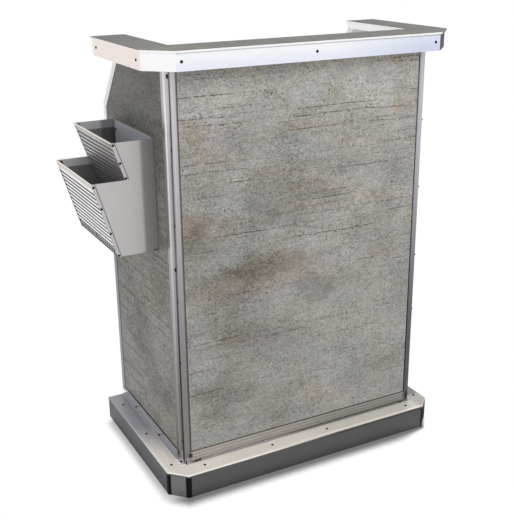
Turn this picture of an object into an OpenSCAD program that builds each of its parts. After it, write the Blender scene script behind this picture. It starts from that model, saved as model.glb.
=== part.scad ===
// Hostess stand: a laminate-faced, metal-framed reception podium on a low plinth,
// with a U-shaped ledge on top and a two-tier menu bin on its left side.
// Millimetres. +Z is up, +Y points from the guest's side to the host's side,
// and the origin is on the floor under the middle of the base.

/* [Overall] */
// Height of the top of the ledge above the floor
total_h = 1219; // [1150:1:1280]

/* [Base] */
// Width of the base, left to right
base_w = 889; // [860:1:1000]
// Depth of the base, front to back
base_d = 540; // [500:1:620]
// Height of the base's top face above the floor
base_h = 74; // [66:1:100]
// Length along each side that the front corner chamfer of the base cuts off
base_chamfer = 45; // [25:1:70]
// Thickness of the sheet metal on the base
base_sheet = 2; // [1:0.5:3]
// Outer radius of the fold round the top edge of the base
base_fold_r = 4; // [3:0.5:6]
// Height of the folded lip above the skirt
base_lip_h = 7; // [6.5:0.5:12]
// Outer radius of the skirt at its bends
skirt_bend_r = 6; // [4:0.5:12]
// Step inwards from the folded lip to the skirt
skirt_step = 1; // [0.5:0.5:2]
// Width of the timber rails inside the base
rail_w = 38; // [32:1:50]
// Thickness of the plywood deck under the sheet top
deck_t = 12; // [9:1:18]
// Height of the glides that the base stands on
glide_h = 3; // [2:0.5:8]
// Diameter of the glides
glide_d = 32; // [24:1:36]
// Distance of the side row of base screws from the base's side edge
base_screw_side = 24.5; // [20:0.5:30]
// Distance of the front and rear rows of base screws from the base's edge
base_screw_end = 30; // [20:0.5:32]

/* [Body] */
// Distance from the base's side edges in to the body's sides
body_side_setback = 60.5; // [50:0.5:90]
// Distance from the base's front edge back to the body's front face
body_setback = 57; // [50:1:80]
// Distance that the side frames reach behind the base
rear_overhang = 28; // [10:1:45]
// Height at which the rear edge of the side frames starts to slope forwards
kink_h = 1012; // [1008:1:1060]
// Thickness of the side frames
frame_t = 20; // [18:0.5:26]
// Wall thickness of the frame extrusions
frame_wall = 2; // [1.5:0.25:3]
// Visible width of the front stiles
stile_w = 17.5; // [14:0.5:22]
// Thickness of the front stiles and of the front wall of the front rails
stile_t = 3; // [2.5:0.5:4]
// Visible height of the front frame's bottom rail
front_rail_h = 28; // [22:1:40]
// Height of the recessed lip under the front frame's bottom rail
front_lip_h = 4; // [3:0.5:6]
// Height of the front and side frames' top rails
top_rail_h = 22; // [18:1:30]
// Width of the side frames' front stiles
side_stile_w = 27; // [24:1:34]
// Height of the side frames' bottom rails
side_bottom_h = 14; // [12:1:24]
// Width of the side frames' rear and sloping stiles
rear_stile_w = 22; // [18:1:30]
// Width of the inner lip that each side panel is set against
panel_lip_w = 10; // [7:0.5:16]
// Thickness of that inner lip
panel_lip_t = 3; // [2:0.5:4]

/* [Corner post] */
// Depth of the corner posts, front to back
post_d = 25; // [22:0.5:32]
// Width of the groove along the outer face of the corner posts
groove_w = 21; // [16:0.5:22]
// Depth of that groove
groove_depth = 3; // [2:0.25:4]
// Width of the dark seam between the front stiles and the corner posts
seam_w = 3; // [2.5:0.25:5]
// Distance that each post reaches in behind the front panel
post_return = 16; // [10:1:24]
// Head diameter of the post screws
post_screw_d = 11; // [8:0.5:12]

/* [Panels] */
// Thickness of the panel boards
board_t = 15; // [12:0.5:16]
// Thickness of the decorative laminate
laminate_t = 1; // [0.6:0.1:1.5]
// Visible gap between a panel and its frame
panel_gap = 3; // [1.5:0.25:5]
// Step back from the frame's face to the laminate
panel_recess = 1; // [0.5:0.25:2]

/* [Ledge] */
// Distance that the U-shaped ledge reaches out beyond the body's sides
top_side_overhang = 74; // [60:1:100]
// Depth of the ledge, from its front edge to the ends of the wings
top_d = 426; // [390:1:440]
// Distance that the ledge reaches in front of the body
top_overhang = 62.5; // [56:0.5:80]
// Length along each side that the front corner chamfer of the ledge cuts off
top_chamfer = 69; // [50:1:80]
// Width of each wing of the ledge
wing_w = 99; // [96:1:130]
// Depth of the front part of the ledge
ledge_d = 119; // [110:1:150]
// Height of the slab between the ledge's top and its underside
slab_t = 22; // [20:1:28]
// Thickness of the cap plate with its protruding nose
cap_t = 5; // [4:0.5:7]
// Distance that the cap plate protrudes over the band
lip_out = 5; // [3:0.5:7]
// Height from the top of the ledge down to the bottom of the band
band_h = 50; // [42:1:60]
// Thickness of the band and of the inner trim
band_t = 2; // [1.5:0.25:3]
// Outer radius of the band at its bends
band_bend_r = 4; // [3:0.5:8]
// Step inwards from the cap plate's inner edge to the inner trim
trim_step = 1; // [0.5:0.25:2]
// Width of the timber subframe behind the band
batten_w = 20; // [16:1:26]
// Depth of the band screws below the top of the ledge
band_screw_drop = 27; // [25:0.5:30]

/* [Host's side] */
// Distance from the start of the side frames' slope down to the worktop's surface
worktop_drop = 11; // [8:1:60]
// Height of the shelf's surface above the floor
shelf_h = 540; // [300:1:800]
// Thickness of the worktop and of the shelf
shelf_t = 19; // [16:1:25]
// Distance from the side frames' rear edge to the rear edge of the worktop and shelf
shelf_inset = 8; // [4:1:60]
// Thickness of the metal edging on the worktop and shelf
edging_t = 3; // [2:0.5:5]
// Leg width of the cleats under the worktop and shelf
cleat_w = 25; // [20:1:35]
// Thickness of the cleats
cleat_t = 3; // [2:0.5:4]

/* [Menu bin] */
// Distance from the body's front face back to the bin's front cheek
bin_setback = 123; // [90:1:200]
// Length of the bin, front to back
bin_len = 312; // [220:1:340]
// Height of the bin's bottom above the floor
bin_z = 674; // [560:1:720]
// Height of the lower opening above the bin's bottom
bin_low_h = 204; // [150:1:230]
// Height of the upper opening above the lower one
bin_up_h = 100; // [70:1:130]
// Reach of the bin's bottom edge from the side panel
bin_bottom_out = 117; // [100:1:130]
// Reach of the lower opening's edge from the side panel
bin_low_out = 176; // [150:1:200]
// Reach of the upper opening's edge from the side panel
bin_up_out = 117; // [100:1:130]
// Reach of the step between the two openings from the side panel
bin_step_out = 84; // [70:1:95]
// Sheet thickness of the bin
bin_t = 1.5; // [1:0.25:2.5]
// Pitch of the louvres
louvre_pitch = 14; // [10:0.5:20]
// Depth of each louvre's step
louvre_step = 3; // [1.5:0.25:4]
// Height of the plain band above the upper louvres
up_band = 14; // [10:1:24]
// Height of the plain band above the lower louvres
low_band = 22; // [18:1:36]
// Width of the flanges inside the bin
bin_flange = 14; // [10:1:20]
// Width of the hems along the sloping edges of the cheeks
bin_hem_w = 8; // [6:0.5:12]

/* [Fasteners] */
// Head diameter of the base, sill and band screws
screw_head_d = 7; // [5:0.5:8]
// Head height of these screws
screw_head_h = 1.6; // [1:0.1:2.5]
// Shank diameter of these screws
screw_d = 3.5; // [2.5:0.5:4]
// Head diameter of the seam and bin rivets
rivet_head_d = 5; // [3.5:0.5:6]
// Clearance round screws in their holes
hole_clear = 0.1; // [0.05:0.05:0.3]
// Clearance between panels and shelves and what holds them
fit_clear = 0.3; // [0.1:0.1:0.8]

/* [Hidden] */
$fn = 48;

satin = [0.80, 0.80, 0.82];
bright = [0.90, 0.90, 0.92];
dark_metal = [0.30, 0.31, 0.31];
concrete = [0.62, 0.61, 0.57];
concrete_side = [0.50, 0.49, 0.46];
slate = [0.42, 0.42, 0.38];
timber = [0.72, 0.58, 0.40];
white_board = [0.86, 0.86, 0.84];
black_screw = [0.08, 0.08, 0.09];
glide_grey = [0.35, 0.35, 0.36];

// Base
base_x = base_w / 2;
base_front = -base_d / 2;
base_rear = base_d / 2;
skirt_in = skirt_step + base_sheet;
deck_z1 = base_h - base_sheet;
deck_z0 = deck_z1 - deck_t;
skirt_z1 = base_h - base_lip_h;
base_screw_len = 20;
base_screw_corner = 74;
base_side_screw_ys = [base_screw_corner, base_d / 2 - 5, base_d - base_screw_corner];
base_end_screw_left = 107.5;
base_end_screw_right = 87.5;
base_end_screw_xs = [base_end_screw_left - base_x, -121, 66, base_x - base_end_screw_right];

// Body
body_x = base_x - body_side_setback;
body_front = base_front + body_setback;
side_rear = base_rear + rear_overhang;
sill_t = 2;
sill_out = 12;
sill_leg_h = 30;
sill_rear = base_rear - 2;
frame_z0 = base_h + sill_t;
sill_screw_front = 17;
sill_screw_rear = 109;
sill_screw_ys = [body_setback + sill_screw_front, base_d / 2 - 32, base_d - sill_screw_rear];
slab_z0 = total_h - slab_t;
frame_in = body_x - frame_t;
stile_back = body_front + stile_t;
stile_in = body_x - stile_w;
rail_clear = 0.2;
edge_clear = 0.2;
front_sill_screw_d = 2.5;
front_sill_head_h = 1;
front_sill_screw_end = 4;
ridge_shares = [0.36, 0.64];
ridge_w = 1.2;
ridge_depth = 0.8;
notch_size = 3.5;
notch_top = 5;
notch_bottom = 19;
opening_z0 = frame_z0 + front_lip_h + front_rail_h;
opening_z1 = slab_z0 - top_rail_h;
laminate_y = body_front + panel_recess;
board_y = laminate_y + laminate_t;
board_back = board_y + board_t;
front_panel_x = stile_in - panel_gap;

// Corner posts
post_face = body_x - 1;
post_y0 = stile_back + seam_w;
post_y1 = post_y0 + post_d;
post_in = stile_in - post_return;
sill_front_x = post_in - fit_clear;
front_sill_screw_xs = [7.5 - post_in, -135, 62, 130, post_in - 3.5];
groove_y = (post_y0 + post_y1) / 2;
groove_r = (groove_w * groove_w / 4 + groove_depth * groove_depth) / (2 * groove_depth);
groove_floor = post_face - groove_depth;
post_screw_seat = groove_floor + groove_r - sqrt(groove_r * groove_r - post_screw_d * post_screw_d / 4);
post_screw_end_gap = 61;
post_screw_drop = 48;
post_screw_mid = 573;
post_screw_len = 12;
post_shank_d = screw_d + 1.5;
hollow_lap = 0.5;
seam_rivet_zs = [312, 489, 698, 895];
seam_leg_x = body_x - 9;
seam_rivet_h = 2;
seam_rivet_d = 1.6;

// Ledge
top_x = body_x + top_side_overhang;
top_front = body_front - top_overhang;
top_rear = top_front + top_d;
top_lam_z = total_h - laminate_t;
cap_z0 = top_lam_z - cap_t;
band_in = lip_out + band_t;
trim_in = trim_step + band_t;
band_z0 = total_h - band_h;
batten_z0 = band_z0 + 2;
band_screw_z = total_h - band_screw_drop;
band_screw_len = 16;
top_lam_inset = 1.5;
wing_end = top_rear - lip_out;
band_chamfer = inset_chamfer(top_chamfer, lip_out);
band_front_end = top_x - lip_out - band_chamfer;
band_front_screw_xs = [13 - band_front_end, -3, band_front_end - 16];
band_side_screw_ys = [top_front + lip_out + band_chamfer + 24.5, top_rear - 32];
ledge_screw_len = 12;
driver_clear = 2;

// Side frame: the rounded nose of the front stile and the fine lines along the members
nose_r = 6.5;
nose_out = 1.5;
line_depth = 0.8;
line_w = 1;
side_line_shares = [0.28, 0.64];

// Side frame outline: the front, bottom, rear, slope and top edges in turn
side_front = post_y1;
side_widths = [side_stile_w, side_bottom_h, rear_stile_w, rear_stile_w, top_rail_h];
slope_run = side_rear - wing_end;
slope_rise = slab_z0 - kink_h;
slope_len = sqrt(slope_run * slope_run + slope_rise * slope_rise);

// Screws up through the frames into the ledge
ledge_screw_xs = [-240, 0, 240];
ledge_side_screw_ys = [side_front + side_stile_w + 40, wing_end - 60];

// Host's side
worktop_h = kink_h - worktop_drop;
shelf_x = frame_in - 1;
shelf_front = post_y1 + 2;
shelf_rear = side_rear - shelf_inset - edging_t;
cleat_y0 = side_front + 3;
cleat_y1 = side_rear - 3;
cleat_screw_len = 12;
cleat_screw_drop = cleat_w / 2 + 2;

// Menu bin: its wall plane is the face of the left side laminate
wall_x = body_x - panel_recess;
bin_y0 = body_front + bin_setback;
bin_y1 = bin_y0 + bin_len;
bin_z1 = bin_z + bin_low_h;
bin_z2 = bin_z1 + bin_up_h;
up_slope = (bin_up_out - bin_step_out) / bin_up_h;
low_slope = (bin_low_out - bin_bottom_out) / bin_low_h;
wall_screw_len = 12;
up_angle = atan(up_slope);
low_angle = atan(low_slope);
up_face_len = (bin_z2 - bin_z - bin_t - fit_clear) / cos(up_angle);
low_face_len = bin_low_h / cos(low_angle);
louvred_below_step = 40;
low_foot_strip = 14;
up_louvres = floor((bin_up_h / cos(up_angle) + louvred_below_step - up_band) / louvre_pitch);
low_louvres = floor((low_face_len - low_band - low_foot_strip) / louvre_pitch);
louvre_hook = 0.8;
up_hem_h = 8;
low_hem_h = 16;
rivet_inset = bin_hem_w / 2;
face_flange_gap = 5;
floor_in = 1;
wall_screw_in = 9;
wall_screw_up = 30;
wall_screw_down = 27;
low_rivet_shares = [0.02, 0.33, 0.67, 0.96];
up_rivet_shares = [0.05, 0.46, 0.94];
rivet_head_h = 1;
rivet_d = 2.4;

// Plan and profile helpers

// How far a 45 degree chamfer shortens when its outline moves in by a distance
function inset_chamfer(c, by) = c - by * (2 - sqrt(2));

// Six corners of a plan with chamfered front corners, moved in by a distance
function plan(hw, front, rear, c, by, rear_by) =
    let (x = hw - by, f = front + by, b = rear - rear_by, k = inset_chamfer(c, by))
    [[-x, b], [-x, f + k], [-x + k, f], [x - k, f], [x, f + k], [x, b]];

function base_plan(by) = plan(base_x, base_front, base_rear, base_chamfer, by, by);

function top_plan(by, rear_by) = plan(top_x, top_front, top_rear, top_chamfer, by, rear_by);

// The U of the ledge: moved in on the outside, on the inside and at the wing ends
function u_plan(by, inner_by, rear_by) =
    let (xi = top_x - wing_w + inner_by, fi = top_front + ledge_d - inner_by)
    concat(top_plan(by, rear_by),
        [[xi, top_rear - rear_by], [xi, fi], [-xi, fi], [-xi, top_rear - rear_by]]);

function unit(v) = v / norm(v);

// A convex corner's two tangent points for a round of radius r
function corner_points(a, p, b, r) =
    let (ua = unit(a - p), ub = unit(b - p), h = acos(ua * ub) / 2)
    [p + ua * r / tan(h), p + ub * r / tan(h)];

function corner_centre(a, p, b, r) =
    let (ua = unit(a - p), ub = unit(b - p), h = acos(ua * ub) / 2)
    p + unit(ua + ub) * r / sin(h);

// A six-cornered plan with its four front corners rounded
module rounded_plan(pts, r) {
    polygon(concat([pts[0]], [for (i = [1:4]) each corner_points(pts[i - 1], pts[i], pts[i + 1], r)],
        [pts[5]]));
    for (i = [1:4])
        translate(corner_centre(pts[i - 1], pts[i], pts[i + 1], r)) circle(r);
}

// Extrudes a drawing of Y against Z from x0 to x1
module across(x0, x1) {
    translate([x0, 0, 0]) rotate([90, 0, 90]) linear_extrude(x1 - x0) children();
}

// Extrudes a drawing of X against Z from y0 to y1
module along(y0, y1) {
    translate([0, y1, 0]) rotate([90, 0, 0]) linear_extrude(y1 - y0) children();
}

// Extrudes a plan from z0 to z1
module upright(z0, z1) {
    translate([0, 0, z0]) linear_extrude(z1 - z0) children();
}

module box2(x0, x1, y0, y1) {
    translate([x0, y0]) square([x1 - x0, y1 - y0]);
}

module on_both_sides() {
    children();
    mirror([1, 0, 0]) children();
}

// Pan-head screw along +Z: its head stands on z = 0 and its shank goes down
module screw(head_d, head_h, shank_d, len) {
    cap_r = (head_d * head_d / 4 + head_h * head_h) / (2 * head_h);
    intersection() {
        translate([0, 0, head_h - cap_r]) sphere(cap_r);
        cylinder(h = head_h, d = head_d);
    }
    translate([0, 0, -len]) cylinder(h = len, d = shank_d);
}

module small_screw(len) {
    screw(screw_head_d, screw_head_h, screw_d, len);
}

module rivet(len) {
    screw(rivet_head_d, rivet_head_h, rivet_d, len);
}

// Hole for a shank that enters at z = 0 and goes down
module shank_hole(d, len) {
    translate([0, 0, -len - 1]) cylinder(h = len + 2, d = d + 2 * hole_clear);
}

// Places of the fasteners, each with +Z pointing out of the head

module base_screw_places() {
    for (side = [-1, 1], y = base_side_screw_ys)
        translate([side * (base_x - base_screw_side), base_front + y, base_h]) children();
    for (x = base_end_screw_xs) {
        translate([x, base_front + base_screw_end, base_h]) children();
        translate([x, base_rear - base_screw_end, base_h]) children();
    }
}

module sill_screw_places() {
    for (side = [-1, 1], y = sill_screw_ys)
        translate([side * (body_x + sill_out / 2), base_front + y, frame_z0]) children();
}

module front_sill_screw_places() {
    for (x = front_sill_screw_xs)
        translate([x, body_front + stile_t / 2, frame_z0 + front_lip_h / 2])
            rotate([90, 0, 0]) children();
}

module post_screw_places() {
    for (side = [-1, 1], z = [frame_z0 + post_screw_end_gap, frame_z0 + post_screw_mid,
            slab_z0 - post_screw_drop])
        translate([side * post_screw_seat, groove_y, z]) rotate([0, side * 90, 0]) children();
}

module seam_rivet_places() {
    for (side = [-1, 1], z = seam_rivet_zs)
        translate([side * (seam_leg_x + stile_t), stile_back + seam_w / 2, frame_z0 + z])
            rotate([0, side * 90, 0]) children();
}

module band_screw_places() {
    for (x = band_front_screw_xs)
        translate([x, top_front + lip_out, band_screw_z]) rotate([90, 0, 0]) children();
    for (side = [-1, 1], y = band_side_screw_ys)
        translate([side * (top_x - lip_out), y, band_screw_z]) rotate([0, side * 90, 0]) children();
}

module cleat_screw_places() {
    for (side = [-1, 1], z = [worktop_h - shelf_t, shelf_h - shelf_t],
            y = [side_front + side_stile_w / 2, side_rear - rear_stile_w / 2])
        translate([side * (frame_in - cleat_t), y, z - cleat_screw_drop])
            rotate([0, -side * 90, 0]) children();
}

// Upwards through the top walls of the top rails into the ledge
module ledge_screw_places() {
    for (x = ledge_screw_xs)
        translate([x, (stile_back + board_back) / 2, slab_z0 - stile_t])
            rotate([180, 0, 0]) children();
    for (side = [-1, 1], y = ledge_side_screw_ys)
        translate([side * (body_x - frame_t / 2), y, slab_z0 - frame_wall])
            rotate([180, 0, 0]) children();
}

// Base

module base_top_plate() {
    color(satin) difference() {
        intersection() {
            upright(skirt_z1, base_h) polygon(base_plan(0));
            across(-base_x, base_x) fold_profile(base_front, base_rear);
            along(base_front, base_rear) fold_profile(-base_x, base_x);
            on_both_corners() fold_profile(-base_w, corner_reach());
        }
        upright(skirt_z1 - 1, deck_z1) polygon(base_plan(base_sheet));
        base_screw_places() shank_hole(screw_d, base_sheet + 1);
        sill_screw_places() shank_hole(screw_d, base_sheet + sill_t + 1);
    }
}

// Distance of the chamfered edges from the vertical through the origin's front
function corner_reach() = (base_x - base_front - base_chamfer) / sqrt(2);

// A slab's section between two ends, with its top corners rounded by the fold's radius
module fold_profile(a, b) {
    box2(a, b, skirt_z1 - 1, base_h - base_fold_r);
    box2(a + base_fold_r, b - base_fold_r, skirt_z1 - 1, base_h);
    for (u = [a + base_fold_r, b - base_fold_r])
        translate([u, base_h - base_fold_r]) circle(base_fold_r);
}

// Extrudes an X against Z drawing square to each front chamfer
module on_both_corners() {
    intersection() {
        rotate([0, 0, -45]) along(-base_w, base_w) children();
        mirror([1, 0, 0]) rotate([0, 0, -45]) along(-base_w, base_w) children();
    }
}

module base_skirt() {
    color(dark_metal) upright(glide_h, skirt_z1) difference() {
        rounded_plan(base_plan(skirt_step), skirt_bend_r);
        rounded_plan(base_plan(skirt_in), skirt_bend_r - base_sheet);
    }
}

module base_deck() {
    color(timber) difference() {
        upright(deck_z0, deck_z1) rounded_plan(base_plan(skirt_in), skirt_bend_r - base_sheet);
        base_screw_places() shank_hole(screw_d, base_screw_len);
        sill_screw_places() shank_hole(screw_d, deck_t + base_sheet + sill_t);
    }
}

// Corner-to-corner rail along edge i of the base plan, mitred to its neighbours
module base_rail(i) {
    outer = base_plan(skirt_in);
    inner = base_plan(skirt_in + rail_w);
    polygon([outer[i], outer[i + 1], inner[i + 1], inner[i]]);
}

module drilled_rail() {
    color(timber) difference() {
        upright(glide_h, deck_z0) children();
        base_screw_places() shank_hole(screw_d, base_screw_len);
    }
}

module base_rail_front() {
    drilled_rail() intersection() {
        rounded_plan(base_plan(skirt_in), skirt_bend_r - base_sheet);
        base_rail(2);
    }
}

module base_rail_left() {
    drilled_rail() side_rail_plan();
}

module base_rail_right() {
    drilled_rail() mirror([1, 0]) side_rail_plan();
}

// The left rail runs past the rear rail's end to the back of the skirt
module side_rail_plan() {
    outer = base_plan(skirt_in);
    inner = base_plan(skirt_in + rail_w);
    intersection() {
        rounded_plan(outer, skirt_bend_r - base_sheet);
        polygon([outer[0], outer[1], inner[1], [inner[0][0], outer[0][1]]]);
    }
}

module base_rail_rear() {
    x = base_x - skirt_in - rail_w;
    drilled_rail() box2(-x, x, base_rear - skirt_in - rail_w, base_rear - skirt_in);
}

module base_rail_middle() {
    color(timber) upright(glide_h, deck_z0)
        box2(-rail_w / 2, rail_w / 2, base_front + skirt_in + rail_w,
            base_rear - skirt_in - rail_w);
}

module base_corner_blocks() {
    color(timber) upright(glide_h, deck_z0) on_both_sides() intersection() {
        rounded_plan(base_plan(skirt_in), skirt_bend_r - base_sheet);
        base_rail(1);
    }
}

module base_glides() {
    x = base_x - skirt_in - rail_w / 2;
    y_front = base_front + base_chamfer + glide_d;
    y_rear = base_rear - skirt_in - rail_w / 2;
    color(glide_grey) {
        for (side = [-1, 1], y = [y_front, y_rear])
            translate([side * x, y, 0]) cylinder(h = glide_h, d = glide_d);
        cylinder(h = glide_h, d = glide_d);
    }
}

module base_screws() {
    color(black_screw) base_screw_places() small_screw(base_screw_len);
}

// Sills between the base and the frames

module sill_left() {
    color(satin) difference() {
        union() {
            upright(base_h, frame_z0)
                box2(-body_x - sill_out, -frame_in + sill_t, body_front, sill_rear);
            upright(frame_z0, frame_z0 + sill_leg_h)
                box2(-frame_in, -frame_in + sill_t, side_front + 1, sill_rear);
        }
        sill_screw_places() shank_hole(screw_d, sill_t + 1);
    }
}

module sill_right() {
    mirror([1, 0, 0]) sill_left();
}

module sill_front() {
    x = sill_front_x;
    color(satin) difference() {
        union() {
            upright(base_h, frame_z0) box2(-x, x, body_front + stile_t / 2, board_back + sill_t);
            upright(frame_z0, frame_z0 + sill_leg_h) box2(-x, x, board_back, board_back + sill_t);
        }
        front_sill_screw_places() shank_hole(screw_d, board_t + 20);
    }
}

module sill_screws() {
    color(black_screw) sill_screw_places() small_screw(deck_t);
}

module front_sill_screws() {
    len = board_back + sill_t + front_sill_screw_end - body_front - stile_t / 2;
    color(black_screw) front_sill_screw_places()
        screw(front_lip_h - 2 * edge_clear, front_sill_head_h, front_sill_screw_d, len);
}

// Corner posts

module post_plan() {
    w = frame_wall;
    difference() {
        union() {
            box2(-post_face, -stile_in, post_y0, post_y1);
            box2(-stile_in, -post_in, board_back, post_y1);
        }
        translate([-post_face - groove_r + groove_depth, groove_y]) circle(groove_r);
        box2(-groove_floor + w, -stile_in - w, post_y0 + w, post_y1 - w);
        box2(-stile_in - w - hollow_lap, -post_in - w, board_back + w, post_y1 - w);
    }
}

module corner_post_left() {
    color(satin) difference() {
        upright(frame_z0, slab_z0) post_plan();
        post_screw_places() shank_hole(post_shank_d, post_screw_len);
    }
}

module corner_post_right() {
    mirror([1, 0, 0]) corner_post_left();
}

module post_screws() {
    color(black_screw) post_screw_places()
        screw(post_screw_d, post_face - post_screw_seat, post_shank_d, post_screw_len);
}

module seam_rivets() {
    color(black_screw) seam_rivet_places()
        screw(seam_w - 2 * edge_clear, seam_rivet_h, seam_rivet_d, stile_t + 1);
}

// Front frame and panel

module stile_plan() {
    r = stile_t;
    box2(-body_x + r, -stile_in, body_front, stile_back);
    intersection() {
        translate([-body_x + r, stile_back]) circle(r);
        box2(-body_x, -body_x + r, body_front, stile_back);
    }
    box2(-seam_leg_x - stile_t, -seam_leg_x, stile_back, post_y0);
    box2(-stile_in - stile_t, -stile_in, stile_back, post_y0);
}

module front_stile_left() {
    color(bright) difference() {
        upright(frame_z0, slab_z0) stile_plan();
        seam_rivet_places() shank_hole(seam_rivet_d, stile_t);
    }
}

module front_stile_right() {
    mirror([1, 0, 0]) front_stile_left();
}

// Section of a front rail: a channel that opens backwards
module rail_section(z0, z1) {
    box2(body_front, stile_back, z0, z1);
    box2(stile_back, board_back, z0, z0 + stile_t);
    box2(stile_back, board_back, z1 - stile_t, z1);
}

module front_bottom_rail() {
    x = stile_in - rail_clear;
    z0 = frame_z0 + front_lip_h;
    lip_y = body_front + stile_t / 2;
    color(bright) difference() {
        across(-x, x) {
            rail_section(z0, opening_z0);
            box2(lip_y, stile_back, frame_z0, z0);
        }
        for (share = ridge_shares)
            across(-x - 1, x + 1)
                box2(body_front - 1, body_front + ridge_depth, z0 + front_rail_h * share,
                    z0 + front_rail_h * share + ridge_w);
        upright(opening_z0 - notch_bottom, opening_z0 - notch_top) on_both_sides()
            box2(-x + notch_size / 2, -x + 1.5 * notch_size, body_front - 1,
                body_front + notch_size / 2);
        front_sill_screw_places() shank_hole(front_sill_screw_d, stile_t + 2);
    }
}

module front_top_rail() {
    x = stile_in - rail_clear;
    color(bright) difference() {
        across(-x, x) rail_section(opening_z1, slab_z0);
        ledge_screw_places() shank_hole(screw_d, stile_t);
    }
}

module front_panel_outline() {
    box2(-front_panel_x, front_panel_x, opening_z0 + panel_gap, opening_z1 - panel_gap);
}

module front_board() {
    color(white_board) along(board_y, board_back) front_panel_outline();
}

module front_laminate() {
    color(concrete) along(laminate_y, board_y) front_panel_outline();
}

// Side frames and panels, drawn for the left side

// The point of the line parallel to the sloping edge, moved in by a distance, at a depth y
function slope_z(by, y) =
    kink_h - by * slope_run / slope_len
        + (side_rear - by * slope_rise / slope_len - y) * slope_rise / slope_run;

// The depth of that line at a height z
function slope_y(by, z) =
    side_rear - by * slope_rise / slope_len
        - (z - kink_h + by * slope_run / slope_len) * slope_run / slope_rise;

// Corners of the side outline, with each edge moved in by its own distance
function side_points(m) = [
    [side_front + m[0], frame_z0 + m[1]],
    [side_rear - m[2], frame_z0 + m[1]],
    [side_rear - m[2], slope_z(m[3], side_rear - m[2])],
    [slope_y(m[3], slab_z0 - m[4]), slab_z0 - m[4]],
    [side_front + m[0], slab_z0 - m[4]]
];

function all_by(d) = [d, d, d, d, d];
function widths_and(d) = [for (w = side_widths) w + d];

// The stretch of an edge strip between two outlines, from corner i to corner i + 1
module edge_strip(outer, inner, i) {
    j = (i + 1) % 5;
    polygon([outer[i], outer[j], inner[j], inner[i]]);
}

// Lip that stands in from member i, flush with the frame's inner face. Its root is bent
// outwards at the middle, so that it grows out of the member's wall
module panel_lip(i) {
    j = (i + 1) % 5;
    root = side_points(side_widths);
    sunk = side_points(widths_and(-frame_wall / 2));
    tip = side_points(widths_and(panel_lip_w));
    across(-frame_in - panel_lip_t, -frame_in)
        polygon([root[i], (sunk[i] + sunk[j]) / 2, root[j], tip[j], tip[i]]);
}

// Hollow of member i
module member_core(i) {
    across(-body_x + frame_wall, -frame_in - frame_wall)
        edge_strip(side_points(all_by(frame_wall)), side_points(widths_and(-frame_wall)), i);
}

module side_front_stile_left() {
    y_nose = side_front + nose_r;
    color(bright) {
        difference() {
            upright(frame_z0, slab_z0) difference() {
                union() {
                    box2(-body_x, -frame_in, y_nose, side_front + side_stile_w);
                    box2(-body_x + nose_r, -frame_in, side_front, y_nose);
                    translate([-body_x + nose_r - nose_out, y_nose]) circle(nose_r);
                }
                box2(-body_x - nose_out, -body_x + line_depth, y_nose + nose_r,
                    y_nose + nose_r + line_w);
            }
            across(-body_x + nose_r, -frame_in - frame_wall)
                box2(side_front + frame_wall, side_front + side_stile_w - frame_wall,
                    frame_z0 - 1, slab_z0 + 1);
            cleat_screw_places() shank_hole(screw_d, cleat_screw_len);
        }
        panel_lip(4);
    }
}

module side_rear_stile_left() {
    inner = side_points(side_widths);
    color(bright) {
        difference() {
            across(-body_x, -frame_in)
                polygon([[side_rear - rear_stile_w, frame_z0], [side_rear, frame_z0],
                    [side_rear, kink_h], inner[2]]);
            member_core(1);
            cleat_screw_places() shank_hole(screw_d, cleat_screw_len);
        }
        panel_lip(1);
    }
}

module side_slope_stile_left() {
    inner = side_points(side_widths);
    color(bright) {
        difference() {
            across(-body_x, -frame_in)
                polygon([[side_rear, kink_h], [wing_end, slab_z0],
                    [slope_y(rear_stile_w, slab_z0), slab_z0], inner[2]]);
            member_core(2);
        }
        panel_lip(2);
    }
}

module side_bottom_rail_left() {
    y0 = side_front + side_stile_w;
    y1 = side_rear - rear_stile_w;
    z1 = frame_z0 + side_bottom_h;
    color(bright) {
        difference() {
            across(-body_x, -frame_in) box2(y0, y1, frame_z0, z1);
            member_core(0);
            for (share = side_line_shares)
                across(-body_x - 1, -body_x + line_depth)
                    box2(y0 - 1, y1 + 1, frame_z0 + side_bottom_h * share,
                        frame_z0 + side_bottom_h * share + line_w);
        }
        panel_lip(0);
    }
}

module side_top_rail_left() {
    z0 = slab_z0 - top_rail_h;
    y0 = side_front + side_stile_w;
    color(bright) {
        difference() {
            across(-body_x, -frame_in)
                polygon([[y0, z0], [slope_y(rear_stile_w, z0), z0],
                    [slope_y(rear_stile_w, slab_z0), slab_z0], [y0, slab_z0]]);
            member_core(3);
            ledge_screw_places() {
                shank_hole(screw_d, frame_wall);
                translate([0, 0, top_rail_h - 2 * frame_wall])
                    cylinder(h = 2 * frame_wall, d = screw_head_d + driver_clear);
            }
        }
        panel_lip(3);
    }
}

module side_panel_layer(x0, x1) {
    across(x0, x1) polygon(side_points(widths_and(panel_gap)));
}

module side_board() {
    x1 = -frame_in - panel_lip_t;
    color(white_board) side_panel_layer(x1 - board_t, x1);
}

module side_laminate() {
    color(concrete_side) side_panel_layer(-wall_x, -frame_in - panel_lip_t - board_t);
}

module drilled_for_bin() {
    difference() {
        children();
        bin_wall_screw_places() shank_hole(screw_d, wall_screw_len);
    }
}

module side_board_left() { drilled_for_bin() side_board(); }
module side_laminate_left() { drilled_for_bin() side_laminate(); }

module side_front_stile_right() { mirror([1, 0, 0]) side_front_stile_left(); }
module side_rear_stile_right() { mirror([1, 0, 0]) side_rear_stile_left(); }
module side_slope_stile_right() { mirror([1, 0, 0]) side_slope_stile_left(); }
module side_bottom_rail_right() { mirror([1, 0, 0]) side_bottom_rail_left(); }
module side_top_rail_right() { mirror([1, 0, 0]) side_top_rail_left(); }
module side_board_right() { mirror([1, 0, 0]) side_board(); }
module side_laminate_right() { mirror([1, 0, 0]) side_laminate(); }

// Host's side

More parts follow.
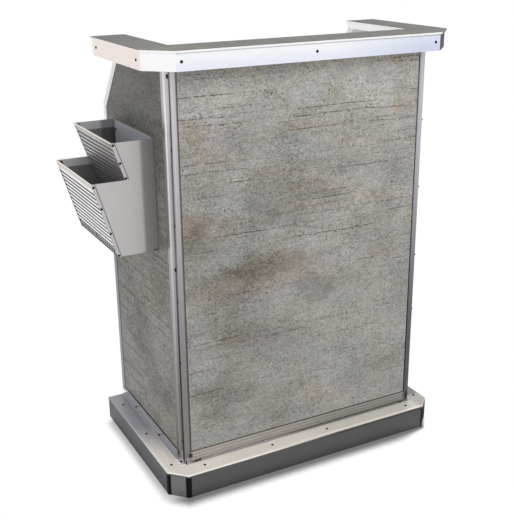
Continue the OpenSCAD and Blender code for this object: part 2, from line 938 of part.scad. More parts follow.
module shelf_board(surface_h) {
    upright(surface_h - shelf_t, surface_h) box2(-shelf_x, shelf_x, shelf_front, shelf_rear);
}

module worktop() {
    color(slate) shelf_board(worktop_h);
}

module shelf() {
    color(white_board) shelf_board(shelf_h);
}

module shelf_edgings() {
    color(satin) for (h = [worktop_h, shelf_h])
        upright(h - shelf_t, h) box2(-shelf_x, shelf_x, shelf_rear, shelf_rear + edging_t);
}

// Angle under the worktop or the shelf, on the left
module cleat(top_z) {
    along(cleat_y0, cleat_y1) {
        box2(-frame_in, -frame_in + cleat_w, top_z - cleat_t, top_z);
        box2(-frame_in, -frame_in + cleat_t, top_z - cleat_w, top_z);
    }
}

module shelf_cleats() {
    color(satin) difference() {
        for (h = [worktop_h, shelf_h]) on_both_sides() cleat(h - shelf_t);
        cleat_screw_places() shank_hole(screw_d, cleat_t + 1);
    }
}

module cleat_screws() {
    color(black_screw) cleat_screw_places() small_screw(cleat_screw_len);
}

// Ledge

module top_cap_plate() {
    color(bright) upright(cap_z0, top_lam_z) polygon(u_plan(0, 0, 0));
}

module top_laminate() {
    i = top_lam_inset;
    color(slate) upright(top_lam_z, total_h) polygon(u_plan(i, i, i));
}

module top_core() {
    color(timber) difference() {
        upright(slab_z0, cap_z0) intersection() {
            rounded_plan(top_plan(band_in, lip_out + band_t), band_bend_r - band_t);
            polygon(u_plan(band_in, trim_in, lip_out + band_t));
        }
        band_screw_places() shank_hole(screw_d, band_screw_len);
        ledge_screw_places() shank_hole(screw_d, ledge_screw_len);
    }
}

// Timber strips behind the band, mitred and glued into one U
module top_subframe() {
    outer = top_plan(band_in, band_in);
    inner = top_plan(band_in + batten_w, -1);
    color(timber) difference() {
        upright(batten_z0, slab_z0) difference() {
            rounded_plan(outer, band_bend_r - band_t);
            polygon(inner);
        }
        band_screw_places() shank_hole(screw_d, band_screw_len);
    }
}

module top_band() {
    color(bright) difference() {
        upright(band_z0, cap_z0) difference() {
            rounded_plan(top_plan(lip_out, lip_out), band_bend_r);
            rounded_plan(top_plan(band_in, -1), band_bend_r - band_t);
        }
        band_screw_places() shank_hole(screw_d, band_t + 1);
    }
}

module top_inner_trim() {
    color(bright) upright(slab_z0, cap_z0) difference() {
        polygon(u_plan(band_in, trim_step, lip_out));
        polygon(u_plan(band_in - 1, trim_in, lip_out + band_t));
    }
}

module band_screws() {
    color(black_screw) band_screw_places() small_screw(band_screw_len);
}

module ledge_screws() {
    color(black_screw) ledge_screw_places() small_screw(ledge_screw_len);
}

// Menu bin, on the face of the left side panel

// Outline of a cheek, with x as the reach out of the wall
module cheek_outline() {
    polygon([[-wall_x - bin_t, bin_z], [-wall_x - bin_bottom_out, bin_z],
        [-wall_x - bin_low_out, bin_z1], [-wall_x - bin_step_out, bin_z1],
        [-wall_x - bin_up_out, bin_z2], [-wall_x - bin_t, bin_z2]]);
}

module bin_back() {
    color(satin) difference() {
        upright(bin_z, bin_z2) box2(-wall_x - bin_t, -wall_x, bin_y0, bin_y1);
        bin_wall_screw_places() shank_hole(screw_d, bin_t + 1);
    }
}

module bin_wall_screw_places() {
    in = bin_flange + wall_screw_in;
    for (y = [bin_y0 + in, bin_y1 - in], z = [bin_z + wall_screw_up, bin_z2 - wall_screw_down])
        translate([-wall_x - bin_t, y, z]) rotate([0, -90, 0]) children();
}

// The hems folded back on the outside of a cheek, along its two sloping edges
module cheek_hems() {
    low_w = bin_hem_w / cos(low_angle);
    up_w = bin_hem_w / cos(up_angle);
    translate([-wall_x, 0]) {
        polygon([[-bin_bottom_out, bin_z], [-bin_low_out, bin_z1],
            [low_w - bin_low_out, bin_z1], [low_w - bin_bottom_out, bin_z]]);
        polygon([[-bin_step_out, bin_z1], [-bin_up_out, bin_z2],
            [up_w - bin_up_out, bin_z2], [up_w - bin_step_out, bin_z1]]);
    }
}

// Cheek from y0 with its hems from hem_y and its flange against the back from flange_y
module bin_cheek(y0, hem_y, flange_y) {
    x0 = -wall_x - 2 * bin_t;
    along(y0, y0 + bin_t) cheek_outline();
    along(hem_y, hem_y + bin_t) cheek_hems();
    upright(bin_z, bin_z2) box2(x0, x0 + bin_t, flange_y, flange_y + bin_flange);
}

module bin_cheek_front() {
    color(satin) difference() {
        bin_cheek(bin_y0, bin_y0 - bin_t, bin_y0);
        front_rivet_places() shank_hole(rivet_d, bin_t * 2 + 1);
    }
}

module bin_cheek_rear() {
    color(satin) difference() {
        bin_cheek(bin_y1 - bin_t, bin_y1, bin_y1 - bin_flange);
        rear_rivet_places() shank_hole(rivet_d, bin_t * 2 + 1);
    }
}

// Rivets along the sloping edges of a cheek: a share of the way up each face
module on_face_edges(y) {
    for (share = low_rivet_shares)
        translate([-wall_x - bin_bottom_out + rivet_inset - (bin_low_out - bin_bottom_out) * share,
            y, bin_z + bin_low_h * share]) children();
    for (share = up_rivet_shares)
        translate([-wall_x - bin_step_out + rivet_inset - (bin_up_out - bin_step_out) * share, y,
            bin_z1 + bin_up_h * share]) children();
}

module front_rivet_places() {
    on_face_edges(bin_y0 - bin_t) rotate([90, 0, 0]) children();
}

module rear_rivet_places() {
    on_face_edges(bin_y1 + bin_t) rotate([-90, 0, 0]) children();
}

// A sheet hung from its top edge at the origin, drawn in X against Z: the outer side is at
// negative X, its top edge has a hem, and a saw tooth of louvres starts below the plain band
module louvred_section(len, hem, band, count) {
    p = louvre_pitch;
    polygon(concat(
        [[-bin_t, 0], [-bin_t, -hem], [0, -hem], [0, -band]],
        [for (i = [0:count - 1]) each [[-louvre_step, -band - (i + louvre_hook) * p],
            [0, -band - (i + 1) * p]]],
        [[0, -len], [bin_t, -len]],
        [for (i = [count - 1:-1:0]) each [[bin_t, -band - (i + 1) * p],
            [bin_t - louvre_step, -band - (i + louvre_hook) * p]]],
        [[bin_t, -band], [bin_t, 0]]));
}

// Slanted section whose top edge is at a reach and height, leaning in by an angle
module leaning(out, z, angle) {
    translate([-wall_x - out, z]) rotate(angle) children();
}

// Two flanges of a face, inside the cheeks, which grow out of the sheet's own thickness
module face_flanges(len, out, z, angle) {
    for (y = [bin_y0 + bin_t, bin_y1 - 2 * bin_t])
        along(y, y + bin_t) leaning(out, z, angle)
            box2(bin_t / 3, bin_flange, -len, -bin_flange * tan(angle));
}

module bin_upper_face() {
    out = bin_up_out - bin_t / cos(up_angle);
    color(bright) difference() {
        union() {
            along(bin_y0 + bin_t, bin_y1 - bin_t) leaning(out, bin_z2, up_angle)
                louvred_section(up_face_len, up_hem_h, up_band, up_louvres);
            face_flanges(bin_up_h / cos(up_angle) - face_flange_gap, out, bin_z2, up_angle);
        }
        front_rivet_places() shank_hole(rivet_d, bin_t * 3 + 1);
        rear_rivet_places() shank_hole(rivet_d, bin_t * 3 + 1);
    }
}

module bin_lower_face() {
    out = bin_low_out - bin_t / cos(low_angle);
    color(bright) difference() {
        union() {
            along(bin_y0 + bin_t, bin_y1 - bin_t) {
                leaning(out, bin_z1, low_angle)
                    louvred_section(low_face_len - bin_t, low_hem_h, low_band, low_louvres);
                box2(-wall_x - bin_bottom_out + floor_in, -wall_x - 2 * bin_t, bin_z, bin_z + bin_t);
            }
            face_flanges(low_face_len - face_flange_gap, out, bin_z1, low_angle);
        }
        front_rivet_places() shank_hole(rivet_d, bin_t * 3 + 1);
        rear_rivet_places() shank_hole(rivet_d, bin_t * 3 + 1);
    }
}

module bin_rivets() {
    color(black_screw) {
        front_rivet_places() rivet(bin_t * 3 + 1);
        rear_rivet_places() rivet(bin_t * 3 + 1);
    }
}

module bin_wall_screws() {
    color(black_screw) bin_wall_screw_places() small_screw(wall_screw_len);
}

base_top_plate();
base_skirt();
base_deck();
base_rail_front();
base_rail_rear();
base_rail_left();
base_rail_right();
base_rail_middle();
base_corner_blocks();
base_glides();
base_screws();
sill_left();
sill_right();
sill_front();
sill_screws();
front_sill_screws();
corner_post_left();
corner_post_right();
post_screws();
seam_rivets();
front_stile_left();
front_stile_right();
front_bottom_rail();
front_top_rail();
front_board();
front_laminate();
side_front_stile_left();
side_rear_stile_left();
side_slope_stile_left();
side_bottom_rail_left();
side_top_rail_left();
side_board_left();
side_laminate_left();
side_front_stile_right();
side_rear_stile_right();
side_slope_stile_right();
side_bottom_rail_right();
side_top_rail_right();
side_board_right();
side_laminate_right();
worktop();
shelf();
shelf_edgings();
shelf_cleats();
cleat_screws();
top_cap_plate();
top_laminate();
top_core();
top_subframe();
top_band();
top_inner_trim();
band_screws();
ledge_screws();
bin_back();
bin_cheek_front();
bin_cheek_rear();
bin_upper_face();
bin_lower_face();
bin_rivets();
bin_wall_screws();
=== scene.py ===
"""Looks for a hostess stand with laminate panels, satin metal frames and a louvred menu bin.

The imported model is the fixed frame. Every length here is in metres in its coordinates: +Z is up, +Y points
from the guest's side to the host's side, and the origin is on the floor under the middle of the base.
"""

import logging
import math
from dataclasses import dataclass
from enum import Enum
from functools import cached_property
from typing import Any, ClassVar, Mapping, Optional, Sequence, Union

import bmesh
import bpy
from mathutils import Matrix, Vector
from mathutils.geometry import convex_hull_2d


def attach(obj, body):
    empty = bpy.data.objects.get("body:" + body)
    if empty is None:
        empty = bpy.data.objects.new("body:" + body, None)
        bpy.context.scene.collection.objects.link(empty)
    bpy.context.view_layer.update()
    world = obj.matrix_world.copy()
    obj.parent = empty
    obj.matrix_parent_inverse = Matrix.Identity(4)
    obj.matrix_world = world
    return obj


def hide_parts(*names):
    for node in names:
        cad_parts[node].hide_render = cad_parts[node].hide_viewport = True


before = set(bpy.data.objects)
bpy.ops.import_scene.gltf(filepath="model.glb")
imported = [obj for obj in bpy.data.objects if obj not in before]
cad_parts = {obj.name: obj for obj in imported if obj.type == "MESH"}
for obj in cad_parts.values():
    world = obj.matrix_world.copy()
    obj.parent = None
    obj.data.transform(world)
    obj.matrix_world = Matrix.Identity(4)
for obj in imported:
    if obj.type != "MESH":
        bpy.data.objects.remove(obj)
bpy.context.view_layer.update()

log = logging.getLogger("hostess_stand")

Rgb = tuple[float, float, float]
Point = tuple[float, float, float]
Value = Union["Signal", float, Sequence[float]]

ROOT = "root"

# The Mix node's sockets for colours, by their places
MIX_SHARE, MIX_FIRST, MIX_SECOND, MIX_RESULT = 0, 6, 7, 2


class Axis(Enum):
    """The three axes of the frame, as unit vectors."""

    X = (1.0, 0.0, 0.0)
    Y = (0.0, 1.0, 0.0)
    Z = (0.0, 0.0, 1.0)

    @property
    def index(self) -> int:
        """Gives the axis's place in a vector."""
        return self.value.index(1.0)


class Grain(Enum):
    """How a pattern lies: the axis that it runs along, and the one across it on its main face."""

    ALONG_X = (Axis.X, Axis.Z)
    ALONG_Y = (Axis.Y, Axis.Z)
    ALONG_Z = (Axis.Z, Axis.X)
    FLAT = (Axis.X, Axis.Y)

    @property
    def along(self) -> Axis:
        """Gives the axis that the pattern runs along."""
        return self.value[0]

    @property
    def across(self) -> Axis:
        """Gives the axis across the pattern on its main face."""
        return self.value[1]

    def stretched(self, along: float, across: float) -> Point:
        """Gives the scale of a pattern in cycles per metre.

        Args:
            along: cycles per metre in the direction of the grain.
            across: cycles per metre in the two other directions.

        Returns:
            The scale along X, Y and Z.
        """
        scale = [across, across, across]
        scale[self.along.index] = along
        return (scale[0], scale[1], scale[2])


class Signal:
    """A node's output, on which Python's operators add the nodes that compute them."""

    __slots__ = ("tree", "socket")

    def __init__(self, tree: "ShaderTree", socket: Optional[bpy.types.NodeSocket]) -> None:
        """Wraps one output socket of a tree, or none for an output node."""
        self.tree = tree
        self.socket = socket

    def __add__(self, other: Value) -> "Signal":
        """Adds on the right."""
        return self.tree.combine("ADD", self, other)

    def __radd__(self, other: Value) -> "Signal":
        """Adds on the left."""
        return self.tree.combine("ADD", other, self)

    def __sub__(self, other: Value) -> "Signal":
        """Subtracts something from this."""
        return self.tree.combine("SUBTRACT", self, other)

    def __rsub__(self, other: Value) -> "Signal":
        """Subtracts this from something."""
        return self.tree.combine("SUBTRACT", other, self)

    def __mul__(self, other: Value) -> "Signal":
        """Multiplies on the right."""
        return self.tree.combine("MULTIPLY", self, other)

    def __rmul__(self, other: Value) -> "Signal":
        """Multiplies on the left."""
        return self.tree.combine("MULTIPLY", other, self)

    def __truediv__(self, other: Value) -> "Signal":
        """Divides this by something."""
        return self.tree.combine("DIVIDE", self, other)

    def __rtruediv__(self, other: Value) -> "Signal":
        """Divides something by this."""
        return self.tree.combine("DIVIDE", other, self)

    def __abs__(self) -> "Signal":
        """Takes the size of a number, or of each component of a vector, without its sign."""
        kind = "ShaderNodeVectorMath" if self.socket.type == "VECTOR" else "ShaderNodeMath"
        return self.tree.add(kind, {"operation": "ABSOLUTE"}, {0: self})

    def axis(self, axis: Axis) -> "Signal":
        """Takes one component of a vector."""
        return self.tree.add("ShaderNodeSeparateXYZ", {}, {0: self}, output=axis.index)

    def toward(self, direction: Point) -> "Signal":
        """Measures a vector along a direction."""
        return self.tree.add("ShaderNodeVectorMath", {"operation": "DOT_PRODUCT"}, {0: self, 1: direction},
                             output="Value")

    def floor(self) -> "Signal":
        """Takes the whole number at or below this."""
        return self.tree.add("ShaderNodeMath", {"operation": "FLOOR"}, {0: self})

    def fract(self) -> "Signal":
        """Takes what is left of this above that whole number."""
        return self.tree.add("ShaderNodeMath", {"operation": "FRACT"}, {0: self})

    def ramp(self, start: float, end: float, low: float = 0.0, high: float = 1.0) -> "Signal":
        """Eases from one number to another while this goes from start to end.

        Args:
            start: where the ease begins.
            end: where it ends, which may be the smaller number.
            low: the result at start and before it.
            high: the result at end and after it.

        Returns:
            The eased number.
        """
        settings = {"interpolation_type": "SMOOTHSTEP", "clamp": True}
        return self.tree.add("ShaderNodeMapRange", settings, {0: self, 1: start, 2: end, 3: low, 4: high})

    def larger(self, other: Value) -> "Signal":
        """Takes the larger of this and another number."""
        return self.tree.add("ShaderNodeMath", {"operation": "MAXIMUM"}, {0: self, 1: other})

    def stretch(self, scale: Point, shift: Point = (0.0, 0.0, 0.0)) -> "Signal":
        """Scales a vector along each axis and then shifts it."""
        return self.tree.add("ShaderNodeMapping", {"vector_type": "POINT"}, {0: self, 1: shift, 3: scale})


class ShaderTree:
    """The node tree of a new material or world."""

    def __init__(self, owner: Union[bpy.types.Material, bpy.types.World]) -> None:
        """Empties the owner's tree.

        Args:
            owner: the material or world.
        """
        owner.use_nodes = True
        self.owner = owner
        self.nodes = owner.node_tree.nodes
        self.links = owner.node_tree.links
        self.nodes.clear()

    @classmethod
    def named(cls, name: str) -> "ShaderTree":
        """Makes a material of that name and gives its tree."""
        return cls(bpy.data.materials.new(name))

    @cached_property
    def place(self) -> Signal:
        """Gives the object coordinates, which are the frame's metres."""
        return self.add("ShaderNodeTexCoord", {}, {}, output="Object")

    def add(self, kind: str, settings: Mapping[str, Any], inputs: Mapping[Union[int, str], Value],
            output: Union[int, str] = 0) -> Signal:
        """Adds one node, which is the only way that nodes come into a tree.

        Args:
            kind: the node's type.
            settings: the node's own settings, which are set first.
            inputs: a value or a signal for each input that differs from its default.
            output: the output that the signal stands for.

        Returns:
            That output.
        """
        node = self.nodes.new(kind)
        for key, value in settings.items():
            setattr(node, key, value)
        for key, value in inputs.items():
            if isinstance(value, Signal):
                self.links.new(value.socket, node.inputs[key])
            elif node.inputs[key].type == "RGBA":
                node.inputs[key].default_value = (*value, 1.0)
            else:
                node.inputs[key].default_value = value
        return Signal(self, node.outputs[output] if len(node.outputs) else None)

    def combine(self, operation: str, left: Value, right: Value) -> Signal:
        """Adds the node of an operator: Mix for colours, Vector Math for vectors, Math for numbers.

        Args:
            operation: the operation's name, which the three nodes share.
            left: the first operand.
            right: the second operand.

        Returns:
            The result.
        """
        kinds = {v.socket.type for v in (left, right) if isinstance(v, Signal)}
        if not kinds & {"RGBA", "VECTOR"}:
            return self.add("ShaderNodeMath", {"operation": operation}, {0: left, 1: right})
        left, right = [(v, v, v) if isinstance(v, (int, float)) else v for v in (left, right)]
        if "RGBA" in kinds:
            return self.mix(operation, 1.0, left, right)
        return self.add("ShaderNodeVectorMath", {"operation": operation}, {0: left, 1: right})

    def mix(self, operation: str, share: Value, first: Value, second: Value) -> Signal:
        """Adds a Mix node for colours.

        Args:
            operation: what it makes of the two colours.
            share: how far the result goes from the first colour to what it makes.
            first: the first colour.
            second: the second colour.

        Returns:
            The result.
        """
        settings = {"data_type": "RGBA", "blend_type": operation}
        inputs = {MIX_SHARE: share, MIX_FIRST: first, MIX_SECOND: second}
        return self.add("ShaderNodeMix", settings, inputs, output=MIX_RESULT)

    def noise(self, place: Signal, detail: float = 2.0, roughness: float = 0.5,
              distortion: float = 0.0) -> Signal:
        """Adds a noise of one cycle per unit of the place given, from 0 to 1.

        Args:
            place: where the noise is taken.
            detail: how many finer layers it has.
            roughness: how strong the finer layers are.
            distortion: how far its figure is bent.

        Returns:
            The noise.
        """
        inputs = {"Vector": place, "Scale": 1.0, "Detail": detail, "Roughness": roughness,
                  "Distortion": distortion}
        return self.add("ShaderNodeTexNoise", {"noise_dimensions": "3D"}, inputs)

    def scatter(self, number: Signal) -> Signal:
        """Gives each whole number its own chance value from 0 to 1."""
        return self.add("ShaderNodeTexWhiteNoise", {"noise_dimensions": "1D"}, {"W": number})

    def grey(self, tone: Signal) -> Signal:
        """Makes a grey of a tone, which a colour can be multiplied by."""
        return self.add("ShaderNodeCombineColor", {}, {0: tone, 1: tone, 2: tone})

    def blend(self, share: Value, first: Value, second: Value) -> Signal:
        """Goes from a first colour to a second one by a share."""
        return self.mix("MIX", share, first, second)

    def tinted(self, share: Value, colour: Value, tint: Rgb) -> Signal:
        """Multiplies a colour by a tint, by a share."""
        return self.mix("MULTIPLY", share, colour, tint)

    def bump(self, height: Signal, depth: float, strength: float = 1.0) -> Signal:
        """Turns a height from 0 to 1 into a normal, over a depth in metres."""
        inputs = {"Strength": strength, "Distance": depth, "Height": height}
        return self.add("ShaderNodeBump", {}, inputs)

    def finish(self, **inputs: Value) -> bpy.types.Material:
        """Closes the tree with a principled shader.

        Args:
            inputs: its inputs by name, with underscores for spaces.

        Returns:
            The material.
        """
        named = {key.replace("_", " "): value for key, value in inputs.items()}
        return self.close(self.add("ShaderNodeBsdfPrincipled", {}, named))

    def close(self, surface: Signal) -> bpy.types.Material:
        """Links a surface to the material's output and gives the material."""
        self.add("ShaderNodeOutputMaterial", {}, {"Surface": surface})
        return self.owner

    def add_seen(self, unseen: Signal, seen: Signal) -> Signal:
        """Shows one shader to the light that bounces and another to the camera and to reflections.

        Args:
            unseen: the shader for the light that bounces.
            seen: the shader for the camera and for reflections.

        Returns:
            The mixed shader.
        """
        camera = self.add("ShaderNodeLightPath", {}, {}, output="Is Camera Ray")
        glossy = self.add("ShaderNodeLightPath", {}, {}, output="Is Glossy Ray")
        through = self.add("ShaderNodeLightPath", {}, {}, output="Is Transmission Ray")
        share = (camera + glossy + through).ramp(0.0, 1.0)
        return self.add("ShaderNodeMixShader", {}, {0: share, 1: unseen, 2: seen})


@dataclass(frozen=True)
class Span:
    """A stretch along a direction over which something fades in."""

    direction: Point
    start: float
    end: float
    mirrored: bool = False

    def share(self, tree: ShaderTree) -> Signal:
        """Gives how far the stretch is passed, from 0 to 1, alike on both sides if mirrored."""
        reach = tree.place.toward(self.direction)
        return (abs(reach) if self.mirrored else reach).ramp(self.start, self.end)


@dataclass(frozen=True)
class Shade:
    """A tint that fades in over one or more spans, all of which have to be reached; most of the stand's tints
    of this kind are painted light and shade.
    """

    tint: Rgb
    spans: tuple[Span, ...]
    matt: bool = False

    def share(self, tree: ShaderTree) -> Signal:
        """Gives how much of the tint there is, from 0 to 1.

        Args:
            tree: the tree that the nodes go to.

        Returns:
            The share.
        """
        share = self.spans[0].share(tree)
        for span in self.spans[1:]:
            share = share * span.share(tree)
        return share


@dataclass(frozen=True)
class PaintedGrooveShade:
    """A painted shade that comes back at a steady pitch down a slope, in the gaps under louvres."""

    tint: Rgb
    down: Point
    first: float
    pitch: float
    count: int
    open_from: float = 0.36
    soft: float = 0.05
    end_soft: float = 0.01
    matt: bool = True

    def share(self, tree: ShaderTree) -> Signal:
        """Gives how much of the tint there is, from 0 to 1.

        Args:
            tree: the tree that the nodes go to.

        Returns:
            The share.
        """
        run = (tree.place.toward(self.down) - self.first) / self.pitch
        within = run.fract()
        return (within.ramp(self.open_from, self.open_from + self.soft) * within.ramp(1.0, 1.0 - self.soft)
                * run.ramp(0.0, self.end_soft) * run.ramp(self.count + self.end_soft, float(self.count)))


@dataclass(frozen=True)
class Patch:
    """A broad soft stain with ragged edges, longer along the grain than across it."""

    tint: Rgb
    along: float
    across: float
    length: float
    height: float
    raggedness: float = 2.2
    full_at: float = 0.0
    gone_at: float = 1.15

    def over(self, tree: ShaderTree, colour: Value, grain: Grain, ragged: Signal) -> Signal:
        """Lays the stain over a colour.

        Args:
            tree: the tree that the nodes go to.
            colour: the colour so far.
            grain: how the panel's pattern lies.
            ragged: a noise that breaks up the stain's edge.

        Returns:
            The colour with the stain.
        """
        aside = (tree.place.axis(grain.along) - self.along) / self.length
        up = (tree.place.axis(grain.across) - self.across) / self.height
        far = aside * aside + up * up + (ragged - 0.5) * self.raggedness
        return tree.tinted(far.ramp(self.gone_at, self.full_at), colour, self.tint)


@dataclass(frozen=True)
class Layer:
    """One noise of a print: its cycles per metre, its detail, where it is taken, and how it is used."""

    along: float
    across: float
    detail: float
    roughness: float
    offset: float
    weight: float = 1.0
    ease: tuple[float, ...] = (0.0, 1.0)


@dataclass(frozen=True)
class MarkRows:
    """Thin wavy lines along the grain, one in each row of a spacing, each with its own ends."""

    spacing: float
    wander: float
    width: float
    breaks: float
    offset: float
    weight: float = 1.0
    rarity: float = 0.46
    softness: float = 0.10
    seat: float = 0.15
    seat_range: float = 0.7
    row_step: float = 3.7


class ConcretePrint:
    """The noises of one concrete print, laid along a grain and shifted by a seed."""

    CLOUDS = Layer(4.0, 7.0, 3.0, 0.55, 0.0, weight=0.85)
    BLOTCHES = Layer(13.0, 26.0, 4.0, 0.62, 3.0, weight=0.62)
    MOTTLE = Layer(48.0, 85.0, 3.0, 0.6, 5.0, weight=0.58)
    SPECKLE = Layer(150.0, 185.0, 2.0, 0.6, 7.0, weight=1.45)
    GRIT = Layer(380.0, 420.0, 1.0, 0.5, 9.0, weight=1.10)
    WARMTH = Layer(7.0, 12.0, 3.0, 0.6, 11.0, ease=(0.36, 0.64))
    STAINS = Layer(9.0, 16.0, 2.0, 0.5, 13.0, ease=(0.52, 0.66))
    STAIN_EDGES = Layer(55.0, 90.0, 2.0, 0.6, 15.0, ease=(0.40, 0.60))
    PITS = Layer(150.0, 175.0, 1.5, 0.5, 17.0, ease=(0.57, 0.69))
    PIT_GROUPS = Layer(11.0, 18.0, 2.0, 0.6, 19.0, ease=(0.44, 0.60))
    MARK_BREAKS = Layer(75.0, 75.0, 2.0, 0.6, 21.0, ease=(0.34, 0.58, 0.25, 1.0))
    MARK_GROUPS = Layer(1.6, 6.5, 1.0, 0.5, 31.0, ease=(0.40, 0.58, 0.35, 1.0))
    WAVES = Layer(2.6, 6.0, 2.0, 0.5, 0.0)
    RIPPLES = Layer(17.0, 30.0, 2.0, 0.6, 1.0, weight=0.22)
    BOARD_ROWS = MarkRows(0.029, 0.9, 0.0026, 4.0, 23.0)
    FINE_ROWS = MarkRows(0.013, 1.3, 0.0018, 6.0, 29.0, weight=0.60)
    MARKS_FULL_AT = 0.85

    def __init__(self, tree: ShaderTree, grain: Grain, seed: float) -> None:
        """Sets the tree that the nodes go to, the grain and the seed's shift.

        Args:
            tree: the tree that the nodes go to.
            grain: how the pattern lies.
            seed: a number that moves the noises.
        """
        self.tree = tree
        self.grain = grain
        self.shift = (seed, seed * 1.7, seed * 2.3)

    def noise(self, layer: Layer, apart: float = 0.0) -> Signal:
        """Gives a layer's noise, drawn out along the grain.

        Args:
            layer: the layer.
            apart: how much farther away than its own offset it is taken.

        Returns:
            The noise, from 0 to 1.
        """
        scale = self.grain.stretched(layer.along, layer.across)
        offset = layer.offset + apart
        shift = (self.shift[0] + offset, self.shift[1] - offset, self.shift[2] + 2 * offset)
        return self.tree.noise(self.tree.place.stretch(scale, shift), layer.detail, layer.roughness)

    def mask(self, layer: Layer) -> Signal:
        """Gives a layer's noise, eased into a mask."""
        return self.noise(layer).ramp(*layer.ease)

    def rows(self, rows: MarkRows) -> Signal:
        """Gives rows of thin wavy lines, each with its own height in its row and its own ends.

        Args:
            rows: the rows' spacing, width, breaks and other measures.

        Returns:
            The lines, from 0 to 1.
        """
        run = self.tree.place.axis(self.grain.along) + self.shift[0]
        rise = self.tree.place.axis(self.grain.across) + self.shift[1]
        ripples = self.noise(self.RIPPLES, rows.offset) * self.RIPPLES.weight
        bend = self.noise(self.WAVES, rows.offset) + ripples
        level = rise / rows.spacing + bend * rows.wander
        row = level.floor()
        seat = self.tree.scatter(row + rows.offset) * rows.seat_range + rows.seat
        line = (abs(level.fract() - seat) * rows.spacing).ramp(rows.width, 0.0)
        spot = self.tree.add("ShaderNodeCombineXYZ", {},
                             {0: run * rows.breaks, 1: row * rows.row_step, 2: rows.offset})
        return line * self.tree.noise(spot, 1.0).ramp(rows.rarity, rows.rarity + rows.softness)

    def marks(self) -> Signal:
        """Gives the board marks, broken up and gathered in groups.

        Returns:
            The marks, from 0 to 1.
        """
        lines = self.rows(self.BOARD_ROWS) + self.rows(self.FINE_ROWS) * self.FINE_ROWS.weight
        broken = lines * self.mask(self.MARK_BREAKS) * self.mask(self.MARK_GROUPS)
        return broken.ramp(0.0, self.MARKS_FULL_AT)


@dataclass(frozen=True)
class ConcreteLaminate:
    """High-pressure laminate with the print of weathered, board-marked concrete."""

    name: str
    warm: Rgb
    cool: Rgb
    grain: Grain
    shades: tuple[Shade, ...] = ()
    patches: tuple[Patch, ...] = ()
    streak: Rgb = (0.40, 0.35, 0.30)
    stain: Rgb = (0.90, 0.82, 0.72)
    pit: Rgb = (0.36, 0.34, 0.32)
    contrast: float = 1.0
    seed: float = 0.0
    roughness: float = 0.50
    sheen: float = 0.35
    relief_depth: float = 0.0003

    def material(self) -> bpy.types.Material:
        """Builds the laminate's material.

        Returns:
            The material.
        """
        tree = ShaderTree.named(self.name)
        figure = ConcretePrint(tree, self.grain, self.seed)
        layers = (figure.CLOUDS, figure.BLOTCHES, figure.MOTTLE, figure.SPECKLE, figure.GRIT)
        noises = [figure.noise(layer) for layer in layers]
        _, blotches, mottle, speckle, _ = noises
        tone: Value = 1.0
        for layer, noise in zip(layers, noises):
            tone = tone + (noise - 0.5) * (layer.weight * self.contrast)
        colour: Value = tree.blend(figure.mask(figure.WARMTH), self.cool, self.warm)
        colour = colour * tree.grey(tone)

        stains = figure.mask(figure.STAINS) * figure.mask(figure.STAIN_EDGES)
        colour = tree.tinted(stains, colour, self.stain)
        for patch in self.patches:
            colour = patch.over(tree, colour, self.grain, blotches)
        pits = figure.mask(figure.PITS) * figure.mask(figure.PIT_GROUPS)
        colour = tree.tinted(pits * self.contrast, colour, self.pit)
        marks = figure.marks()
        colour = tree.tinted(marks * self.contrast, colour, self.streak)
        for shade in self.shades:
            colour = tree.tinted(shade.share(tree), colour, shade.tint)

        height = speckle * 0.6 + mottle * 0.3 - marks * 0.6 - pits * 0.4
        roughness = self.roughness + (blotches - 0.5) * 0.2 + marks * 0.15
        return tree.finish(Base_Color=colour, Roughness=roughness,
                           Normal=tree.bump(height, self.relief_depth, 0.5), Specular_IOR_Level=self.sheen)


@dataclass(frozen=True)
class SatinMetal:
    """Rolled or extruded metal with a fine grain, faint smudges and soft changes of tone, and with the painted
    light and shade of its shades.
    """

    name: str
    colour: Rgb
    grain: Grain
    roughness: float = 0.32
    metallic: float = 0.75
    lines: float = 0.05
    smudges: float = 0.06
    relief: float = 1.0
    sheen: float = 0.5
    fine: tuple[float, float] = (9.0, 1100.0)
    coarse: tuple[float, float] = (2.5, 160.0)
    smudge_scale: float = 17.0
    smudge_gloss: float = 0.16
    fine_gloss: float = 0.10
    matt_rise: float = 0.5
    relief_depth: float = 0.00003
    relief_strength: float = 0.3
    shades: tuple[Union[Shade, PaintedGrooveShade], ...] = ()

    def material(self) -> bpy.types.Material:
        """Builds the metal's material.

        Returns:
            The material.
        """
        tree = ShaderTree.named(self.name)
        fine = tree.noise(tree.place.stretch(self.grain.stretched(*self.fine)), 3.0, 0.7)
        coarse = tree.noise(tree.place.stretch(self.grain.stretched(*self.coarse), (4.0, 1.0, 2.0)), 2.0)
        smudge = tree.noise(tree.place.stretch((self.smudge_scale,) * 3, (9.0, 3.0, 5.0)), 4.0, 0.6, 0.6)
        tone = (1.0 + (fine - 0.5) * self.lines + (coarse - 0.5) * self.lines
                + (smudge - 0.5) * self.smudges)
        colour: Value = tree.grey(tone) * self.colour
        roughness = self.roughness + (smudge - 0.5) * self.smudge_gloss + (fine - 0.5) * self.fine_gloss
        metallic: Value = self.metallic
        for shade in self.shades:
            share = shade.share(tree)
            colour = tree.tinted(share, colour, shade.tint)
            if shade.matt:
                roughness = roughness + share * self.matt_rise
                metallic = metallic * (1 - share)
        inputs: dict[str, Value] = {"Base_Color": colour, "Metallic": metallic, "Roughness": roughness,
                                    "Specular_IOR_Level": self.sheen}
        if self.relief > 0:
            inputs["Normal"] = tree.bump(fine, self.relief_depth, self.relief_strength * self.relief)
        return tree.finish(**inputs)


